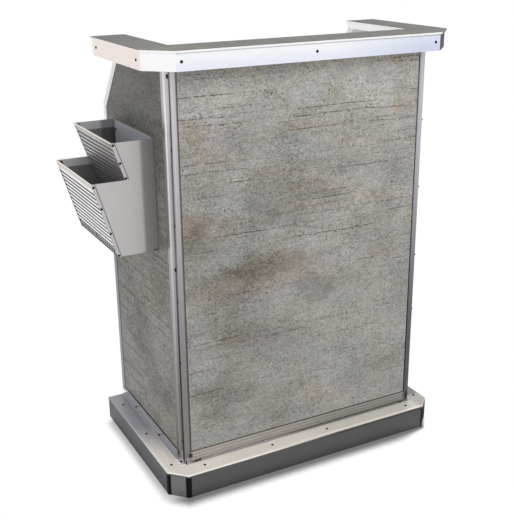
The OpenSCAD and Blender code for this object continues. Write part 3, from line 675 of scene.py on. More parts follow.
@dataclass(frozen=True)
class BoardWood:
    """Plywood or softwood with growth rings drawn out along the grain."""

    name: str
    light: Rgb
    dark: Rgb
    grain: Grain
    pore: Rgb = (0.55, 0.45, 0.35)
    drift: tuple[float, float] = (1.4, 26.0)
    rings: tuple[float, float] = (2.2, 150.0)
    pores: tuple[float, float] = (60.0, 1300.0)

    def material(self) -> bpy.types.Material:
        """Builds the wood's material.

        Returns:
            The material.
        """
        tree = ShaderTree.named(self.name)
        drift = tree.noise(tree.place.stretch(self.grain.stretched(*self.drift)), 3.0, 0.55, 0.9)
        ring_place = tree.place.stretch(self.grain.stretched(*self.rings), (3.0, 8.0, 1.0))
        rings = tree.noise(ring_place, 3.0, 0.6, 1.2)
        pores = tree.noise(tree.place.stretch(self.grain.stretched(*self.pores)), 2.0)
        share = (drift * 0.55 + rings * 0.45).ramp(0.34, 0.66)
        wood = tree.blend(share, self.light, self.dark)
        colour = tree.tinted(pores.ramp(0.58, 0.72) * 0.35, wood, self.pore)
        return tree.finish(Base_Color=colour, Roughness=0.62 + (rings - 0.5) * 0.2,
                           Normal=tree.bump(rings + pores * 0.5, 0.0002, 0.4))


@dataclass(frozen=True)
class FacedBoard:
    """Board with a plain pressed facing: a fine pebbled skin and a little unevenness."""

    name: str
    colour: Rgb
    unevenness: float = 0.06
    pebble: float = 900.0
    cloud: float = 6.0
    fleck: Point = (130.0, 210.0, 130.0)
    roughness: float = 0.5

    def material(self) -> bpy.types.Material:
        """Builds the facing's material.

        Returns:
            The material.
        """
        tree = ShaderTree.named(self.name)
        pebbles = tree.noise(tree.place.stretch((self.pebble,) * 3), 2.0, 0.5)
        clouds = tree.noise(tree.place.stretch((self.cloud,) * 3, (2.0, 5.0, 7.0)), 4.0, 0.6, 0.4)
        flecks = tree.noise(tree.place.stretch(self.fleck, (7.0, 1.0, 3.0)), 3.0, 0.65)
        tone = 1.0 + (clouds - 0.5) * (self.unevenness * 2) + (flecks - 0.5) * (self.unevenness * 2.4)
        return tree.finish(Base_Color=tree.grey(tone) * self.colour,
                           Roughness=self.roughness + (clouds - 0.5) * 0.15,
                           Normal=tree.bump(pebbles, 0.00012, 0.5))


@dataclass(frozen=True)
class BlackFastener:
    """Blackened steel, a little worn where a driver and hands have touched it."""

    name: str
    colour: Rgb = (0.012, 0.012, 0.014)
    worn: Rgb = (0.045, 0.045, 0.050)
    wear_scale: float = 420.0
    grain_scale: float = 2600.0

    def material(self) -> bpy.types.Material:
        """Builds the blackened steel's material.

        Returns:
            The material.
        """
        tree = ShaderTree.named(self.name)
        wear = tree.noise(tree.place.stretch((self.wear_scale,) * 3), 3.0, 0.7).ramp(0.54, 0.74)
        grain = tree.noise(tree.place.stretch((self.grain_scale,) * 3), 2.0)
        colour = tree.blend(wear * 0.5, self.colour, self.worn)
        return tree.finish(Base_Color=colour, Metallic=0.2, Roughness=0.48 + (wear - 0.5) * 0.12,
                           Specular_IOR_Level=0.25, Normal=tree.bump(grain, 0.00005, 0.4))


@dataclass(frozen=True)
class MouldedNylon:
    """Moulded nylon with a matt, slightly scuffed skin."""

    name: str
    colour: Rgb
    scuffed: float = 2.2
    skin_scale: float = 1500.0
    scuff_scale: Point = (60.0, 220.0, 60.0)

    def material(self) -> bpy.types.Material:
        """Builds the nylon's material.

        Returns:
            The material.
        """
        tree = ShaderTree.named(self.name)
        skin = tree.noise(tree.place.stretch((self.skin_scale,) * 3), 2.0)
        scuffs = tree.noise(tree.place.stretch(self.scuff_scale), 3.0, 0.65).ramp(0.56, 0.74)
        worn = tuple(min(1.0, c * self.scuffed) for c in self.colour)
        colour = tree.blend(scuffs * 0.4, self.colour, worn)
        return tree.finish(Base_Color=colour, Roughness=0.55 + scuffs * 0.15,
                           Normal=tree.bump(skin, 0.0001, 0.5))


def extent(node: str, axis: Axis) -> tuple[float, float]:
    """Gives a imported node's lowest and highest coordinate along an axis, to a thousandth of a millimetre."""
    reach = [vertex.co[axis.index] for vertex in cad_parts[node].data.vertices]
    return round(min(reach), 6), round(max(reach), 6)


# Directions
UP, BACK, ASIDE = Axis.Z.value, Axis.Y.value, Axis.X.value
FORWARD, LEFTWARD = (0.0, -1.0, 0.0), (-1.0, 0.0, 0.0)
TO_RIGHT_CORNER = (math.sqrt(0.5), -math.sqrt(0.5), 0.0)

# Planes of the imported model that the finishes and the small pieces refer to
BASE_SIDE = extent("base_top_plate", Axis.X)[1]
BASE_FRONT = extent("base_top_plate", Axis.Y)[0]
BASE_TOP = extent("base_top_plate", Axis.Z)[1]
SKIRT_SIDE = extent("base_skirt", Axis.X)[1]
SKIRT_FRONT = extent("base_skirt", Axis.Y)[0]
SKIRT_FOOT, SKIRT_TOP = extent("base_skirt", Axis.Z)
BODY_SIDE = extent("front_stile_right", Axis.X)[1]
BODY_FRONT = extent("front_stile_right", Axis.Y)[0]
POST_FRONT = extent("corner_post_right", Axis.Y)[0]
SIDE_FRONT = extent("side_front_stile_right", Axis.Y)[0]
BAND_SIDE = extent("top_band", Axis.X)[1]
BAND_FRONT = extent("top_band", Axis.Y)[0]
LEDGE_UNDERSIDE = extent("top_band", Axis.Z)[0]
CAP_SIDE = extent("top_cap_plate", Axis.X)[1]
WALL = extent("bin_back", Axis.X)[1]
BIN_FRONT, BIN_REAR = extent("bin_back", Axis.Y)
BIN_FOOT, BIN_TOP = extent("bin_back", Axis.Z)
BIN_STEP = BIN_TOP - 0.100
BIN_SHEET = 0.0015


@dataclass(frozen=True)
class Tier:
    """One louvred face of the bin: a sheet that hangs from its top edge and leans in to the wall."""

    node: str
    reach: float
    top: float
    lean: float
    run: float
    hem: float
    band: float
    louvres: int
    flange_end: float
    pitch: float = 0.014

    @property
    def angle(self) -> float:
        """Gives the angle by which the sheet leans."""
        return math.atan(self.lean)

    @property
    def down(self) -> Point:
        """Gives the direction down the sheet."""
        return (math.sin(self.angle), 0.0, -math.cos(self.angle))

    @property
    def out(self) -> Point:
        """Gives the direction out of the sheet's outer face."""
        return (-math.cos(self.angle), 0.0, -math.sin(self.angle))

    @property
    def edge(self) -> Vector:
        """Gives the top edge of the outer face, in the middle plane."""
        return Vector((WALL - self.reach + BIN_SHEET / math.cos(self.angle), 0.0, self.top))

    def at(self, down: float, out: float, y: float = 0.0) -> Vector:
        """Gives the point at a distance down the sheet and out of its outer face, at a given y."""
        return self.edge + Vector(self.down) * down + Vector(self.out) * out + Vector(BACK) * y

    def run_of(self, down: float) -> float:
        """Gives a distance down the sheet as a measure along its direction from the origin."""
        return self.edge.dot(Vector(self.down)) + down

    def face_of(self, inset: float) -> float:
        """Gives a plane behind the outer face as a measure along its direction from the origin."""
        return self.edge.dot(Vector(self.out)) - inset


UPPER = Tier("bin_upper_face", reach=0.117, top=BIN_TOP, lean=0.33, run=0.3180, hem=0.008, band=0.014,
             louvres=9, flange_end=0.104)
LOWER = Tier("bin_lower_face", reach=0.176, top=BIN_STEP, lean=59 / 204, run=0.2108, hem=0.016, band=0.022,
             louvres=12, flange_end=0.205)


def inward(side: float, start: float, end: float) -> Span:
    """Gives a stretch that is measured inwards from a side plane, alike on both sides."""
    return Span(ASIDE, side - start, side - end, True)


def behind(front: float, start: float, end: float) -> Span:
    """Gives a stretch that is measured backwards from a front plane."""
    return Span(BACK, front + start, front + end)


def above(level: float, start: float, end: float) -> Span:
    """Gives a stretch that is measured upwards from a level."""
    return Span(UP, level + start, level + end)


def down_face(tier: Tier, start: float, end: float) -> Span:
    """Gives a stretch that is measured down a tier's face from its top edge."""
    return Span(tier.down, tier.run_of(start), tier.run_of(end))


def into_face(tier: Tier, start: float, end: float) -> Span:
    """Gives a stretch that is measured inwards from a tier's outer face."""
    return Span(tier.out, tier.face_of(start), tier.face_of(end))


def hem_painted_shadow(tier: Tier, fade: float) -> Shade:
    """Gives the thin painted shadow line on the front cheek behind a tier's face.

    Args:
        tier: the tier.
        fade: how far past the step between the tiers it is whole, upwards or downwards.

    Returns:
        The line's shade.
    """
    return Shade((0.28, 0.26, 0.26), (into_face(tier, 0.0098, 0.0090), into_face(tier, 0.0068, 0.0076),
                                      above(BIN_STEP, 0.0, fade)))


def pocket_depth(top: float, behind_face: Span) -> Shade:
    """Gives the shadow inside a pocket of the bin, from a little below its top edge."""
    return Shade((0.36, 0.36, 0.36), INSIDE + (above(top, -0.021, -0.025), behind_face))


# Stretches that several shades share
ON_LEFT = Span(ASIDE, 0.0, -0.1)
ON_RIGHT = Span(ASIDE, 0.0, 0.1)
FAINTER_UPWARDS = Span(UP, 1.25, 0.98)
ON_STILE_EDGE = inward(BODY_SIDE, 0.0142, 0.0152)
ON_NOSE_EDGE = behind(SIDE_FRONT, 0.0248, 0.0262)
ON_RAIL_LIP = above(BASE_TOP, 0.0068, 0.0058)
ON_BAND_FRONT = behind(BAND_FRONT, 0.0015, 0.0009)
ON_PLATE_TOP = behind(BASE_FRONT, 0.0075, 0.0110)
TOWARDS_RIGHT_END = Span(ASIDE, -0.22, 0.12)
PLATE_CORNER_END = Span(BACK, -0.115, -0.145)
INSIDE = (behind(BIN_FRONT, 0.0004, 0.0008), behind(BIN_REAR, -0.0004, -0.0008))

# Laminates
# Painted shadow: a dark line on the panels just under the ledge
PANEL_TOP_PAINTED_SHADOW = Shade((0.36, 0.33, 0.31), (above(LEDGE_UNDERSIDE, -0.0044, -0.0034),))
# Painted light on the front panel: darker downwards from the ledge, lighter just under it, darker towards the
# foot and towards the left
PANEL_PAINTED_LIGHT_FADES = (Shade((0.76, 0.76, 0.755), (above(LEDGE_UNDERSIDE, -0.004, -0.189),)),
               Shade((1.16, 1.16, 1.16), (above(LEDGE_UNDERSIDE, -0.059, -0.019),)),
               PANEL_TOP_PAINTED_SHADOW,
               Shade((0.92, 0.92, 0.915), (Span(UP, 1.00, 0.30),)),
               Shade((0.90, 0.90, 0.90), (Span(ASIDE, 0.30, -0.30),)))
FRONT_PATCHES = (Patch((0.79, 0.78, 0.77), -0.050, 0.815, 0.17, 0.10),
                 Patch((0.84, 0.76, 0.67), -0.335, 0.765, 0.06, 0.05),
                 Patch((0.74, 0.73, 0.71), -0.310, 0.715, 0.10, 0.05),
                 Patch((0.75, 0.70, 0.65), -0.090, 0.622, 0.15, 0.05),
                 Patch((0.84, 0.79, 0.74), -0.250, 0.575, 0.15, 0.06),
                 Patch((0.79, 0.77, 0.76), -0.262, 0.255, 0.12, 0.08),
                 Patch((0.80, 0.79, 0.79), 0.030, 0.520, 0.08, 0.06),
                 Patch((0.92, 0.85, 0.76), -0.325, 1.010, 0.05, 0.04),
                 Patch((0.86, 0.85, 0.85), 0.240, 0.700, 0.10, 0.09),
                 Patch((0.84, 0.83, 0.82), -0.160, 0.430, 0.16, 0.05),
                 Patch((1.10, 1.10, 1.09), 0.170, 0.350, 0.22, 0.14))
SIDE_PATCHES = (Patch((0.80, 0.74, 0.66), -0.080, 0.55, 0.09, 0.07),
                Patch((0.80, 0.79, 0.79), 0.080, 0.36, 0.10, 0.08),
                Patch((0.82, 0.78, 0.72), -0.090, 0.22, 0.06, 0.05))
# Painted shade on the side panels: darker towards the top, a dark line along the foot by the rail, and the
# painted shadow under the ledge
SIDE_PAINTED_SHADE = (Shade((0.76, 0.76, 0.76), (Span(UP, 0.45, 1.0),)),
              Shade((0.30, 0.29, 0.28), (above(BASE_TOP, 0.022, 0.021),)),
              PANEL_TOP_PAINTED_SHADOW)
# Painted light on the ledge top: darker towards the back and lighter at the left front
LEDGE_PAINTED_LIGHT = (Shade((0.76, 0.77, 0.78), (Span(BACK, -0.15, 0.14),)),
               Shade((1.22, 1.17, 1.12), (Span(ASIDE, -0.22, -0.32), Span(BACK, -0.17, -0.20))))
CONCRETE_FRONT = ConcreteLaminate("concrete_front", (0.515, 0.493, 0.462), (0.482, 0.478, 0.460),
                                  Grain.ALONG_X, shades=PANEL_PAINTED_LIGHT_FADES, patches=FRONT_PATCHES)
CONCRETE_SIDE = ConcreteLaminate("concrete_side", (0.345, 0.326, 0.298), (0.322, 0.314, 0.294),
                                 Grain.ALONG_Y, contrast=1.35, seed=4.3, shades=SIDE_PAINTED_SHADE,
                                 patches=SIDE_PATCHES)
SLATE_LEDGE = ConcreteLaminate("slate_ledge", (0.156, 0.148, 0.131), (0.143, 0.139, 0.127), Grain.FLAT,
                               contrast=0.7, seed=8.1, shades=LEDGE_PAINTED_LIGHT,
                               patches=(Patch((0.80, 0.81, 0.83), 0.08, -0.215, 0.09, 0.05),))
SLATE_WORKTOP = ConcreteLaminate("slate_worktop", (0.270, 0.262, 0.240), (0.250, 0.252, 0.242), Grain.FLAT,
                                 contrast=0.6, seed=2.6)

# Stiles of the front frame
# Painted shade: the framing metal is darker towards the foot
FOOT_PAINTED_SHADE = Shade((0.40, 0.385, 0.375), (Span(UP, 1.12, 0.25),))
# Painted light and shade on the front stiles: a dark seam by the post, a lighter foot, a dark edge by the
# panel, a painted highlight line, a dark outer corner, and on the right stile a bluish painted reflection,
# more shade low down and a lighter edge by the panel
STILE_SEAM_PAINTED_SHADE = Shade((0.30, 0.28, 0.27), (behind(BODY_FRONT, 0.0002, 0.0010), Span(UP, 0.88, 1.05),
                                        FAINTER_UPWARDS), matt=True)
STILE_FOOT_PAINTED_LIGHT = Shade((1.9, 1.9, 1.95), (above(BASE_TOP, 0.022, 0.012),))
STILE_EDGE_PAINTED_SHADE = Shade((0.46, 0.43, 0.41), (ON_STILE_EDGE,))
STILE_PAINTED_HIGHLIGHT = Shade((1.16, 1.16, 1.17), (inward(BODY_SIDE, 0.0090, 0.0078),
                                         inward(BODY_SIDE, 0.0045, 0.0058), Span(UP, 0.55, 1.05)))
STILE_CORNER_PAINTED_SHADE = Shade((0.42, 0.39, 0.38), (inward(BODY_SIDE, 0.0022, 0.0012), Span(UP, 0.40, 0.90)))
STILE_RIGHT_PAINTED_REFLECTION = Shade((0.90, 0.93, 0.99), (ON_RIGHT,))
STILE_RIGHT_LOW_PAINTED_SHADE = Shade((0.48, 0.49, 0.50), (ON_RIGHT, Span(UP, 0.95, 0.15)))
STILE_RIGHT_EDGE_PAINTED_LIGHT = Shade((1.80, 1.90, 2.00), (ON_STILE_EDGE, ON_RIGHT))
FRAME_METAL = SatinMetal("satin_frame", (0.56, 0.545, 0.56), Grain.ALONG_Z,
                         shades=(FOOT_PAINTED_SHADE, STILE_EDGE_PAINTED_SHADE, STILE_PAINTED_HIGHLIGHT, STILE_CORNER_PAINTED_SHADE, STILE_SEAM_PAINTED_SHADE, STILE_FOOT_PAINTED_LIGHT,
                                 STILE_RIGHT_PAINTED_REFLECTION, STILE_RIGHT_LOW_PAINTED_SHADE, STILE_RIGHT_EDGE_PAINTED_LIGHT))

# Rounded front stiles and rear stiles of the side frames
# Painted shade on the rounded side stiles: a darker flat beside the bright nose, a dark edge by the panel and
# darker low down; the rear stiles are painted darker and bluish below the slope
NOSE_SIDE_PAINTED_SHADE = Shade((0.60, 0.565, 0.555), (behind(SIDE_FRONT, 0.0115, 0.0140),))
NOSE_EDGE_PAINTED_SHADE = Shade((0.75, 0.74, 0.75), (ON_NOSE_EDGE,))
NOSE_LOW_EDGE_PAINTED_SHADE = Shade((0.50, 0.48, 0.47), (ON_NOSE_EDGE, Span(UP, 0.95, 0.60)))
NOSE_LOW_PAINTED_SHADE = Shade((0.76, 0.75, 0.75), (Span(UP, 0.50, 0.20),))
NOSE_METAL = SatinMetal("satin_nose", (0.92, 0.89, 0.89), Grain.ALONG_Z,
                        shades=(FOOT_PAINTED_SHADE, NOSE_LOW_PAINTED_SHADE, NOSE_SIDE_PAINTED_SHADE, NOSE_EDGE_PAINTED_SHADE, NOSE_LOW_EDGE_PAINTED_SHADE))
REAR_PAINTED_SHADE = Shade((0.25, 0.26, 0.30), (Span(UP, 0.98, 0.66),))
REAR_METAL = SatinMetal("satin_rear_frame", (1.0, 1.0, 1.0), Grain.ALONG_Z, metallic=0.5,
                        shades=(REAR_PAINTED_SHADE,))

# Grooved corner posts
# Painted shade on the grooved posts: a dark seam in the groove, darker low down, a darker side of the groove
# and a dark spot at the foot; painted light: a lighter foot and a painted highlight line in the groove
POST_SEAM_PAINTED_SHADE = Shade((0.14, 0.125, 0.12), (behind(POST_FRONT, 0.0056, 0.0042), FAINTER_UPWARDS), matt=True)
POST_LOW_SEAM_PAINTED_SHADE = Shade((0.12, 0.105, 0.10), (behind(POST_FRONT, 0.0182, 0.0162), Span(UP, 0.90, 0.35)),
                      matt=True)
POST_BASE_PAINTED_LIGHT = Shade((2.3, 2.3, 2.35), (above(BASE_TOP, 0.038, 0.024), behind(POST_FRONT, 0.0165, 0.0185),
                                     ON_LEFT))
POST_LOW_PAINTED_SHADE = Shade((0.68, 0.67, 0.67), (Span(UP, 0.55, 0.20),))
POST_FOOT_PAINTED_SHADE = Shade((0.15, 0.15, 0.16), (above(BASE_TOP, 0.009, 0.005), behind(POST_FRONT, 0.0105, 0.0085)),
                  matt=True)
POST_PAINTED_HIGHLIGHT = Shade((1.30, 1.32, 1.36), (behind(POST_FRONT, 0.0148, 0.0130),
                                       behind(POST_FRONT, 0.0082, 0.0098), Span(UP, 0.70, 1.0)))
POST_GROOVE_PAINTED_SHADE = Shade((0.52, 0.52, 0.54), (behind(POST_FRONT, 0.020, 0.004),))
POST_METAL = SatinMetal("satin_post", (0.60, 0.60, 0.65), Grain.ALONG_Z,
                        shades=(FOOT_PAINTED_SHADE, POST_LOW_PAINTED_SHADE, POST_GROOVE_PAINTED_SHADE, POST_PAINTED_HIGHLIGHT, POST_SEAM_PAINTED_SHADE, POST_LOW_SEAM_PAINTED_SHADE,
                                POST_BASE_PAINTED_LIGHT, POST_FOOT_PAINTED_SHADE))

# Rails
# Painted light and shade on the rails: darker towards the right, a painted highlight on the ridge and a dark
# lip at the foot; the side rails are darker low down, with a dark painted shadow line at the top by the panel
RAIL_RIGHT_PAINTED_SHADE = Shade((0.76, 0.77, 0.77), (Span(ASIDE, -0.30, 0.20),))
RAIL_RIDGE_PAINTED_HIGHLIGHT = Shade((1.22, 1.22, 1.22), (above(BASE_TOP, 0.0175, 0.0185), above(BASE_TOP, 0.0225, 0.0215)))
RAIL_FOOT_PAINTED_SHADE = Shade((0.66, 0.66, 0.71), (ON_RAIL_LIP,))
RAIL_FAR_FOOT_PAINTED_SHADE = Shade((0.38, 0.38, 0.38), (ON_RAIL_LIP, Span(ASIDE, -0.20, 0.05)))
RAIL_METAL = SatinMetal("satin_rail", (0.445, 0.415, 0.40), Grain.ALONG_X, roughness=0.38,
                        shades=(RAIL_RIGHT_PAINTED_SHADE, RAIL_RIDGE_PAINTED_HIGHLIGHT, RAIL_FOOT_PAINTED_SHADE, RAIL_FAR_FOOT_PAINTED_SHADE))
SIDE_RAIL_FOOT_PAINTED_SHADE = Shade((0.80, 0.80, 0.82), (above(BASE_TOP, 0.009, 0.006),))
SIDE_RAIL_TOP_PAINTED_SHADOW = Shade((0.14, 0.13, 0.13), (above(BASE_TOP, 0.0144, 0.0150), Span(UP, 0.20, 0.15)), matt=True)
SIDE_RAIL_METAL = SatinMetal("satin_side_rail", (0.60, 0.60, 0.62), Grain.ALONG_Y, roughness=0.36,
                             shades=(SIDE_RAIL_FOOT_PAINTED_SHADE, SIDE_RAIL_TOP_PAINTED_SHADOW))

# Band and cap plate of the ledge
# Painted reflections on the band and cap plate: a warm tint on the side faces, a cool tint on the front and a
# dark right chamfer; painted shade: darker towards the bottom of the front, a dark line under the cap and
# darker towards the right end
SIDE_PAINTED_REFLECTION_TINT = (1.0, 0.895, 0.850)
BAND_SIDE_PAINTED_REFLECTION = Shade(SIDE_PAINTED_REFLECTION_TINT, (inward(BAND_SIDE, 0.0015, 0.0008),))
BAND_FRONT_PAINTED_REFLECTION = Shade((0.95, 0.965, 1.0), (ON_BAND_FRONT,))
BAND_LOW_PAINTED_SHADE = Shade((0.90, 0.91, 0.965), (ON_BAND_FRONT, above(LEDGE_UNDERSIDE, 0.034, 0.007)))
BAND_TOP_PAINTED_SHADOW = Shade((0.70, 0.70, 0.71), (ON_BAND_FRONT, above(LEDGE_UNDERSIDE, 0.0402, 0.0412)))
BAND_RIGHT_PAINTED_SHADE = Shade((0.78, 0.81, 0.90), (ON_BAND_FRONT, Span(ASIDE, 0.0, 0.38)))
BAND_CORNER_PAINTED_REFLECTION = Shade((0.085, 0.090, 0.093), (Span(TO_RIGHT_CORNER, 0.4636, 0.4644),), matt=True)
BAND_METAL = SatinMetal("satin_band", (1.0, 1.0, 1.0), Grain.ALONG_X, roughness=0.28, smudges=0.05,
                        lines=0.02, relief=0.0,
                        shades=(BAND_SIDE_PAINTED_REFLECTION, BAND_FRONT_PAINTED_REFLECTION, BAND_LOW_PAINTED_SHADE, BAND_TOP_PAINTED_SHADOW, BAND_RIGHT_PAINTED_SHADE, BAND_CORNER_PAINTED_REFLECTION))
CAP_SIDE_PAINTED_REFLECTION = Shade(SIDE_PAINTED_REFLECTION_TINT, (inward(CAP_SIDE, 0.0030, 0.0010),))
CAP_CORNER_PAINTED_REFLECTION = Shade((0.22, 0.23, 0.235), (Span(TO_RIGHT_CORNER, 0.4684, 0.4692),), matt=True)
CAP_METAL = SatinMetal("satin_cap", (0.97, 0.97, 0.975), Grain.ALONG_X, roughness=0.25, smudges=0.03,
                       relief=0.0, shades=(CAP_SIDE_PAINTED_REFLECTION, CAP_CORNER_PAINTED_REFLECTION))

# Sills, plate and skirt of the base
# Painted light: the sill is lighter in the corner under the post
SILL_PAINTED_LIGHT = Shade((1.9, 1.9, 1.92), (Span(BACK, -0.165, -0.188), ON_LEFT))
SILL_METAL = SatinMetal("satin_sill", (0.52, 0.52, 0.555), Grain.ALONG_Y, roughness=0.36,
                        shades=(SILL_PAINTED_LIGHT,))
# Painted light and shade on the base plate: the top is dimmed so its folded edges read as painted highlights,
# lighter at the left front, darker towards the right and at the right end, a painted shadow by the right post,
# darker side strips and beside the body, a dark line under the body, the upright lip painted dark, and a
# painted highlight line along the right of the front edge
PLATE_EDGE_PAINTED_HIGHLIGHT = Shade((0.936, 0.936, 0.936), (ON_PLATE_TOP, inward(BASE_SIDE, 0.0085, 0.0125)))
PLATE_LEFT_PAINTED_LIGHT = Shade((1.07, 1.06, 1.06), (Span(ASIDE, -0.22, -0.32), ON_PLATE_TOP))
PLATE_RIGHT_PAINTED_SHADE = Shade((0.84, 0.84, 0.83), (Span(ASIDE, -0.05, 0.15), ON_PLATE_TOP))
PLATE_RIGHT_END_PAINTED_SHADE = Shade((0.74, 0.73, 0.74), (Span(ASIDE, 0.385, 0.405), PLATE_CORNER_END))
PLATE_RIGHT_SHADOW = Shade((0.48, 0.48, 0.49), (Span(ASIDE, 0.384, 0.390), Span(BACK, -0.198, -0.180),
                                                PLATE_CORNER_END))
PLATE_SIDES_PAINTED_SHADE = Shade((0.40, 0.42, 0.52), (Span(BACK, -0.170, 0.070), Span(ASIDE, 0.392, 0.400, True)))
PLATE_BESIDE_BODY_PAINTED_SHADE = Shade((0.84, 0.83, 0.83), (Span(BACK, -0.200, -0.150), Span(ASIDE, 0.420, 0.402, True)))
PLATE_UNDER_BODY_PAINTED_SHADOW = Shade((0.30, 0.30, 0.31), (behind(BODY_FRONT, -0.0048, -0.0032),
                                              inward(BODY_SIDE, -0.0005, 0.0005)))
PLATE_LIP_PAINTED_SHADE = Shade((0.11, 0.11, 0.115), (above(BASE_TOP, -0.0026, -0.0036),))
PLATE_FAR_LIP_PAINTED_SHADE = Shade((0.11, 0.11, 0.115), (above(BASE_TOP, -0.0004, -0.0009),
                                            behind(BASE_FRONT, 0.0038, 0.0032), TOWARDS_RIGHT_END))
PLATE_FAR_PAINTED_HIGHLIGHT = Shade((1.26, 1.26, 1.26), (behind(BASE_FRONT, 0.0130, 0.0110),
                                            behind(BASE_FRONT, 0.0070, 0.0095), TOWARDS_RIGHT_END))
PLATE_METAL = SatinMetal("brushed_plate", (1.0, 0.947, 0.875), Grain.ALONG_X, roughness=0.34, metallic=0.1,
                         lines=0.04, smudges=0.05, relief=0.3,
                         shades=(PLATE_EDGE_PAINTED_HIGHLIGHT, PLATE_LEFT_PAINTED_LIGHT, PLATE_RIGHT_END_PAINTED_SHADE, PLATE_RIGHT_SHADOW, PLATE_RIGHT_PAINTED_SHADE,
                                 PLATE_SIDES_PAINTED_SHADE, PLATE_BESIDE_BODY_PAINTED_SHADE, PLATE_UNDER_BODY_PAINTED_SHADOW, PLATE_LIP_PAINTED_SHADE, PLATE_FAR_LIP_PAINTED_SHADE,
                                 PLATE_FAR_PAINTED_HIGHLIGHT))
# Painted shade on the skirt: the front, the sides and the right chamfer are each darkened by how light falls
# on them
SKIRT_PAINTED_SHADES = (Shade((0.56, 0.565, 0.565), (behind(SKIRT_FRONT, 0.0015, 0.0005),)),
               Shade((0.26, 0.278, 0.335), (inward(SKIRT_SIDE, 0.0010, 0.0003),)),
               Shade((0.07, 0.07, 0.075), (Span(TO_RIGHT_CORNER, 0.4716, 0.4722),), matt=True))
SKIRT_METAL = SatinMetal("dark_skirt", (0.185, 0.182, 0.182), Grain.ALONG_X, roughness=0.36, metallic=0.5,
                         relief=0.4, sheen=0.15, shades=SKIRT_PAINTED_SHADES)
STRIP_METAL = SatinMetal("black_strip", (0.006, 0.006, 0.007), Grain.ALONG_Z, roughness=0.5, metallic=0.0,
                         relief=0.3, sheen=0.08)

# Sheets of the menu bin
# Painted reflection: the cheeks are darker in a band near the wall. Painted shade: a dark line at the wall,
# dark lines by the hems and shadow deep in the pockets. Painted light: the inside of the cheeks is lighter
NEAR_WALL = Span(ASIDE, WALL - 0.044, WALL - 0.032)
CHEEK_NEAR_WALL_PAINTED_REFLECTION = Shade((0.66, 0.65, 0.65), (NEAR_WALL,))
CHEEK_WALL_BAND_PAINTED_REFLECTION = Shade((0.78, 0.76, 0.76), (NEAR_WALL,))
CHEEK_WALL_PAINTED_SHADOW = Shade((0.50, 0.48, 0.47), (Span(ASIDE, WALL - 0.0030, WALL - 0.0015),))
CHEEK_INSIDE_PAINTED_LIGHT = Shade((1.5, 1.54, 1.62), INSIDE)
CHEEK_METAL = SatinMetal("satin_cheek", (0.555, 0.54, 0.535), Grain.ALONG_Z, roughness=0.42, lines=0.03,
                         metallic=0.4, smudges=0.12, relief=0.5,
                         shades=(CHEEK_NEAR_WALL_PAINTED_REFLECTION, CHEEK_WALL_BAND_PAINTED_REFLECTION, CHEEK_WALL_PAINTED_SHADOW,
                                 hem_painted_shadow(LOWER, -0.001), hem_painted_shadow(UPPER, 0.001), CHEEK_INSIDE_PAINTED_LIGHT,
                                 pocket_depth(BIN_TOP, into_face(UPPER, 0.0, 0.002)),
                                 pocket_depth(BIN_STEP, into_face(UPPER, 0.002, 0.0))))
# Painted shade: the back plate's front edge is darkened
BACK_EDGE_PAINTED_SHADE = Shade((0.22, 0.21, 0.20), (behind(BIN_FRONT, 0.0030, 0.0016),))
BACK_METAL = SatinMetal("satin_back", (0.84, 0.87, 0.96), Grain.ALONG_Z, roughness=0.40, relief=0.5,
                        metallic=0.3, shades=(BACK_EDGE_PAINTED_SHADE,))
# The louvred sheets: below a thin top line, left bright as a painted highlight on the fold, each sheet takes
# its own colour; the grooves under the louvres get painted shade, the upper face is a little darker low down,
# the lower face's foot is dark, and its inner side is painted dark as shade
UPPER_FACE_COLOUR_AND_PAINTED_SHADE = (Shade((0.55, 0.60, 0.68), (down_face(UPPER, 0.002, 0.0035),)),
              PaintedGrooveShade((0.50, 0.475, 0.46), UPPER.down, UPPER.run_of(UPPER.band), UPPER.pitch, UPPER.louvres),
              Shade((0.95, 0.95, 0.95), (down_face(UPPER, 0.06, 0.14),)))
LOWER_FACE_COLOUR_AND_PAINTED_SHADE = (Shade((0.72, 0.60, 0.475),
                    (down_face(LOWER, 0.0015, 0.0030), down_face(LOWER, 0.0165, 0.0155))),
              PaintedGrooveShade((0.12, 0.10, 0.096), LOWER.down, LOWER.run_of(LOWER.band), LOWER.pitch, LOWER.louvres),
              Shade((0.10, 0.105, 0.11), (down_face(LOWER, 0.190, 0.192),), matt=True),
              Shade((0.28, 0.28, 0.28), (into_face(LOWER, 0.0012, 0.0014),)))
UPPER_LOUVRES = SatinMetal("satin_upper_louvres", (0.90, 0.81, 0.70), Grain.ALONG_Y, roughness=0.36,
                           shades=UPPER_FACE_COLOUR_AND_PAINTED_SHADE)
LOWER_LOUVRES = SatinMetal("satin_lower_louvres", (0.93, 0.93, 0.94), Grain.ALONG_Y, roughness=0.30,
                           shades=LOWER_FACE_COLOUR_AND_PAINTED_SHADE)
RIB_METAL = SatinMetal("satin_rib", (0.62, 0.62, 0.64), Grain.ALONG_Z, roughness=0.36)

# Host's side, timber, fasteners and seals
SHELF_METAL = SatinMetal("satin_shelf_trim", (0.66, 0.66, 0.68), Grain.ALONG_X)
WHITE_BOARD = FacedBoard("white_board", (0.70, 0.70, 0.675))
SHELF_BOARD = FacedBoard("shelf_board", (0.70, 0.70, 0.68))
PLYWOOD = BoardWood("plywood", (0.60, 0.44, 0.26), (0.44, 0.29, 0.15), Grain.ALONG_X)
SIDE_TIMBER = BoardWood("side_timber", (0.62, 0.47, 0.29), (0.45, 0.31, 0.17), Grain.ALONG_Y)
SCREW_BLACK = BlackFastener("black_screw")
NYLON = MouldedNylon("grey_nylon", (0.10, 0.10, 0.105))
DARK_SEAL = MouldedNylon("dark_seal", (0.010, 0.009, 0.008))
BROWN_SEAL = MouldedNylon("brown_seal", (0.070, 0.058, 0.052))

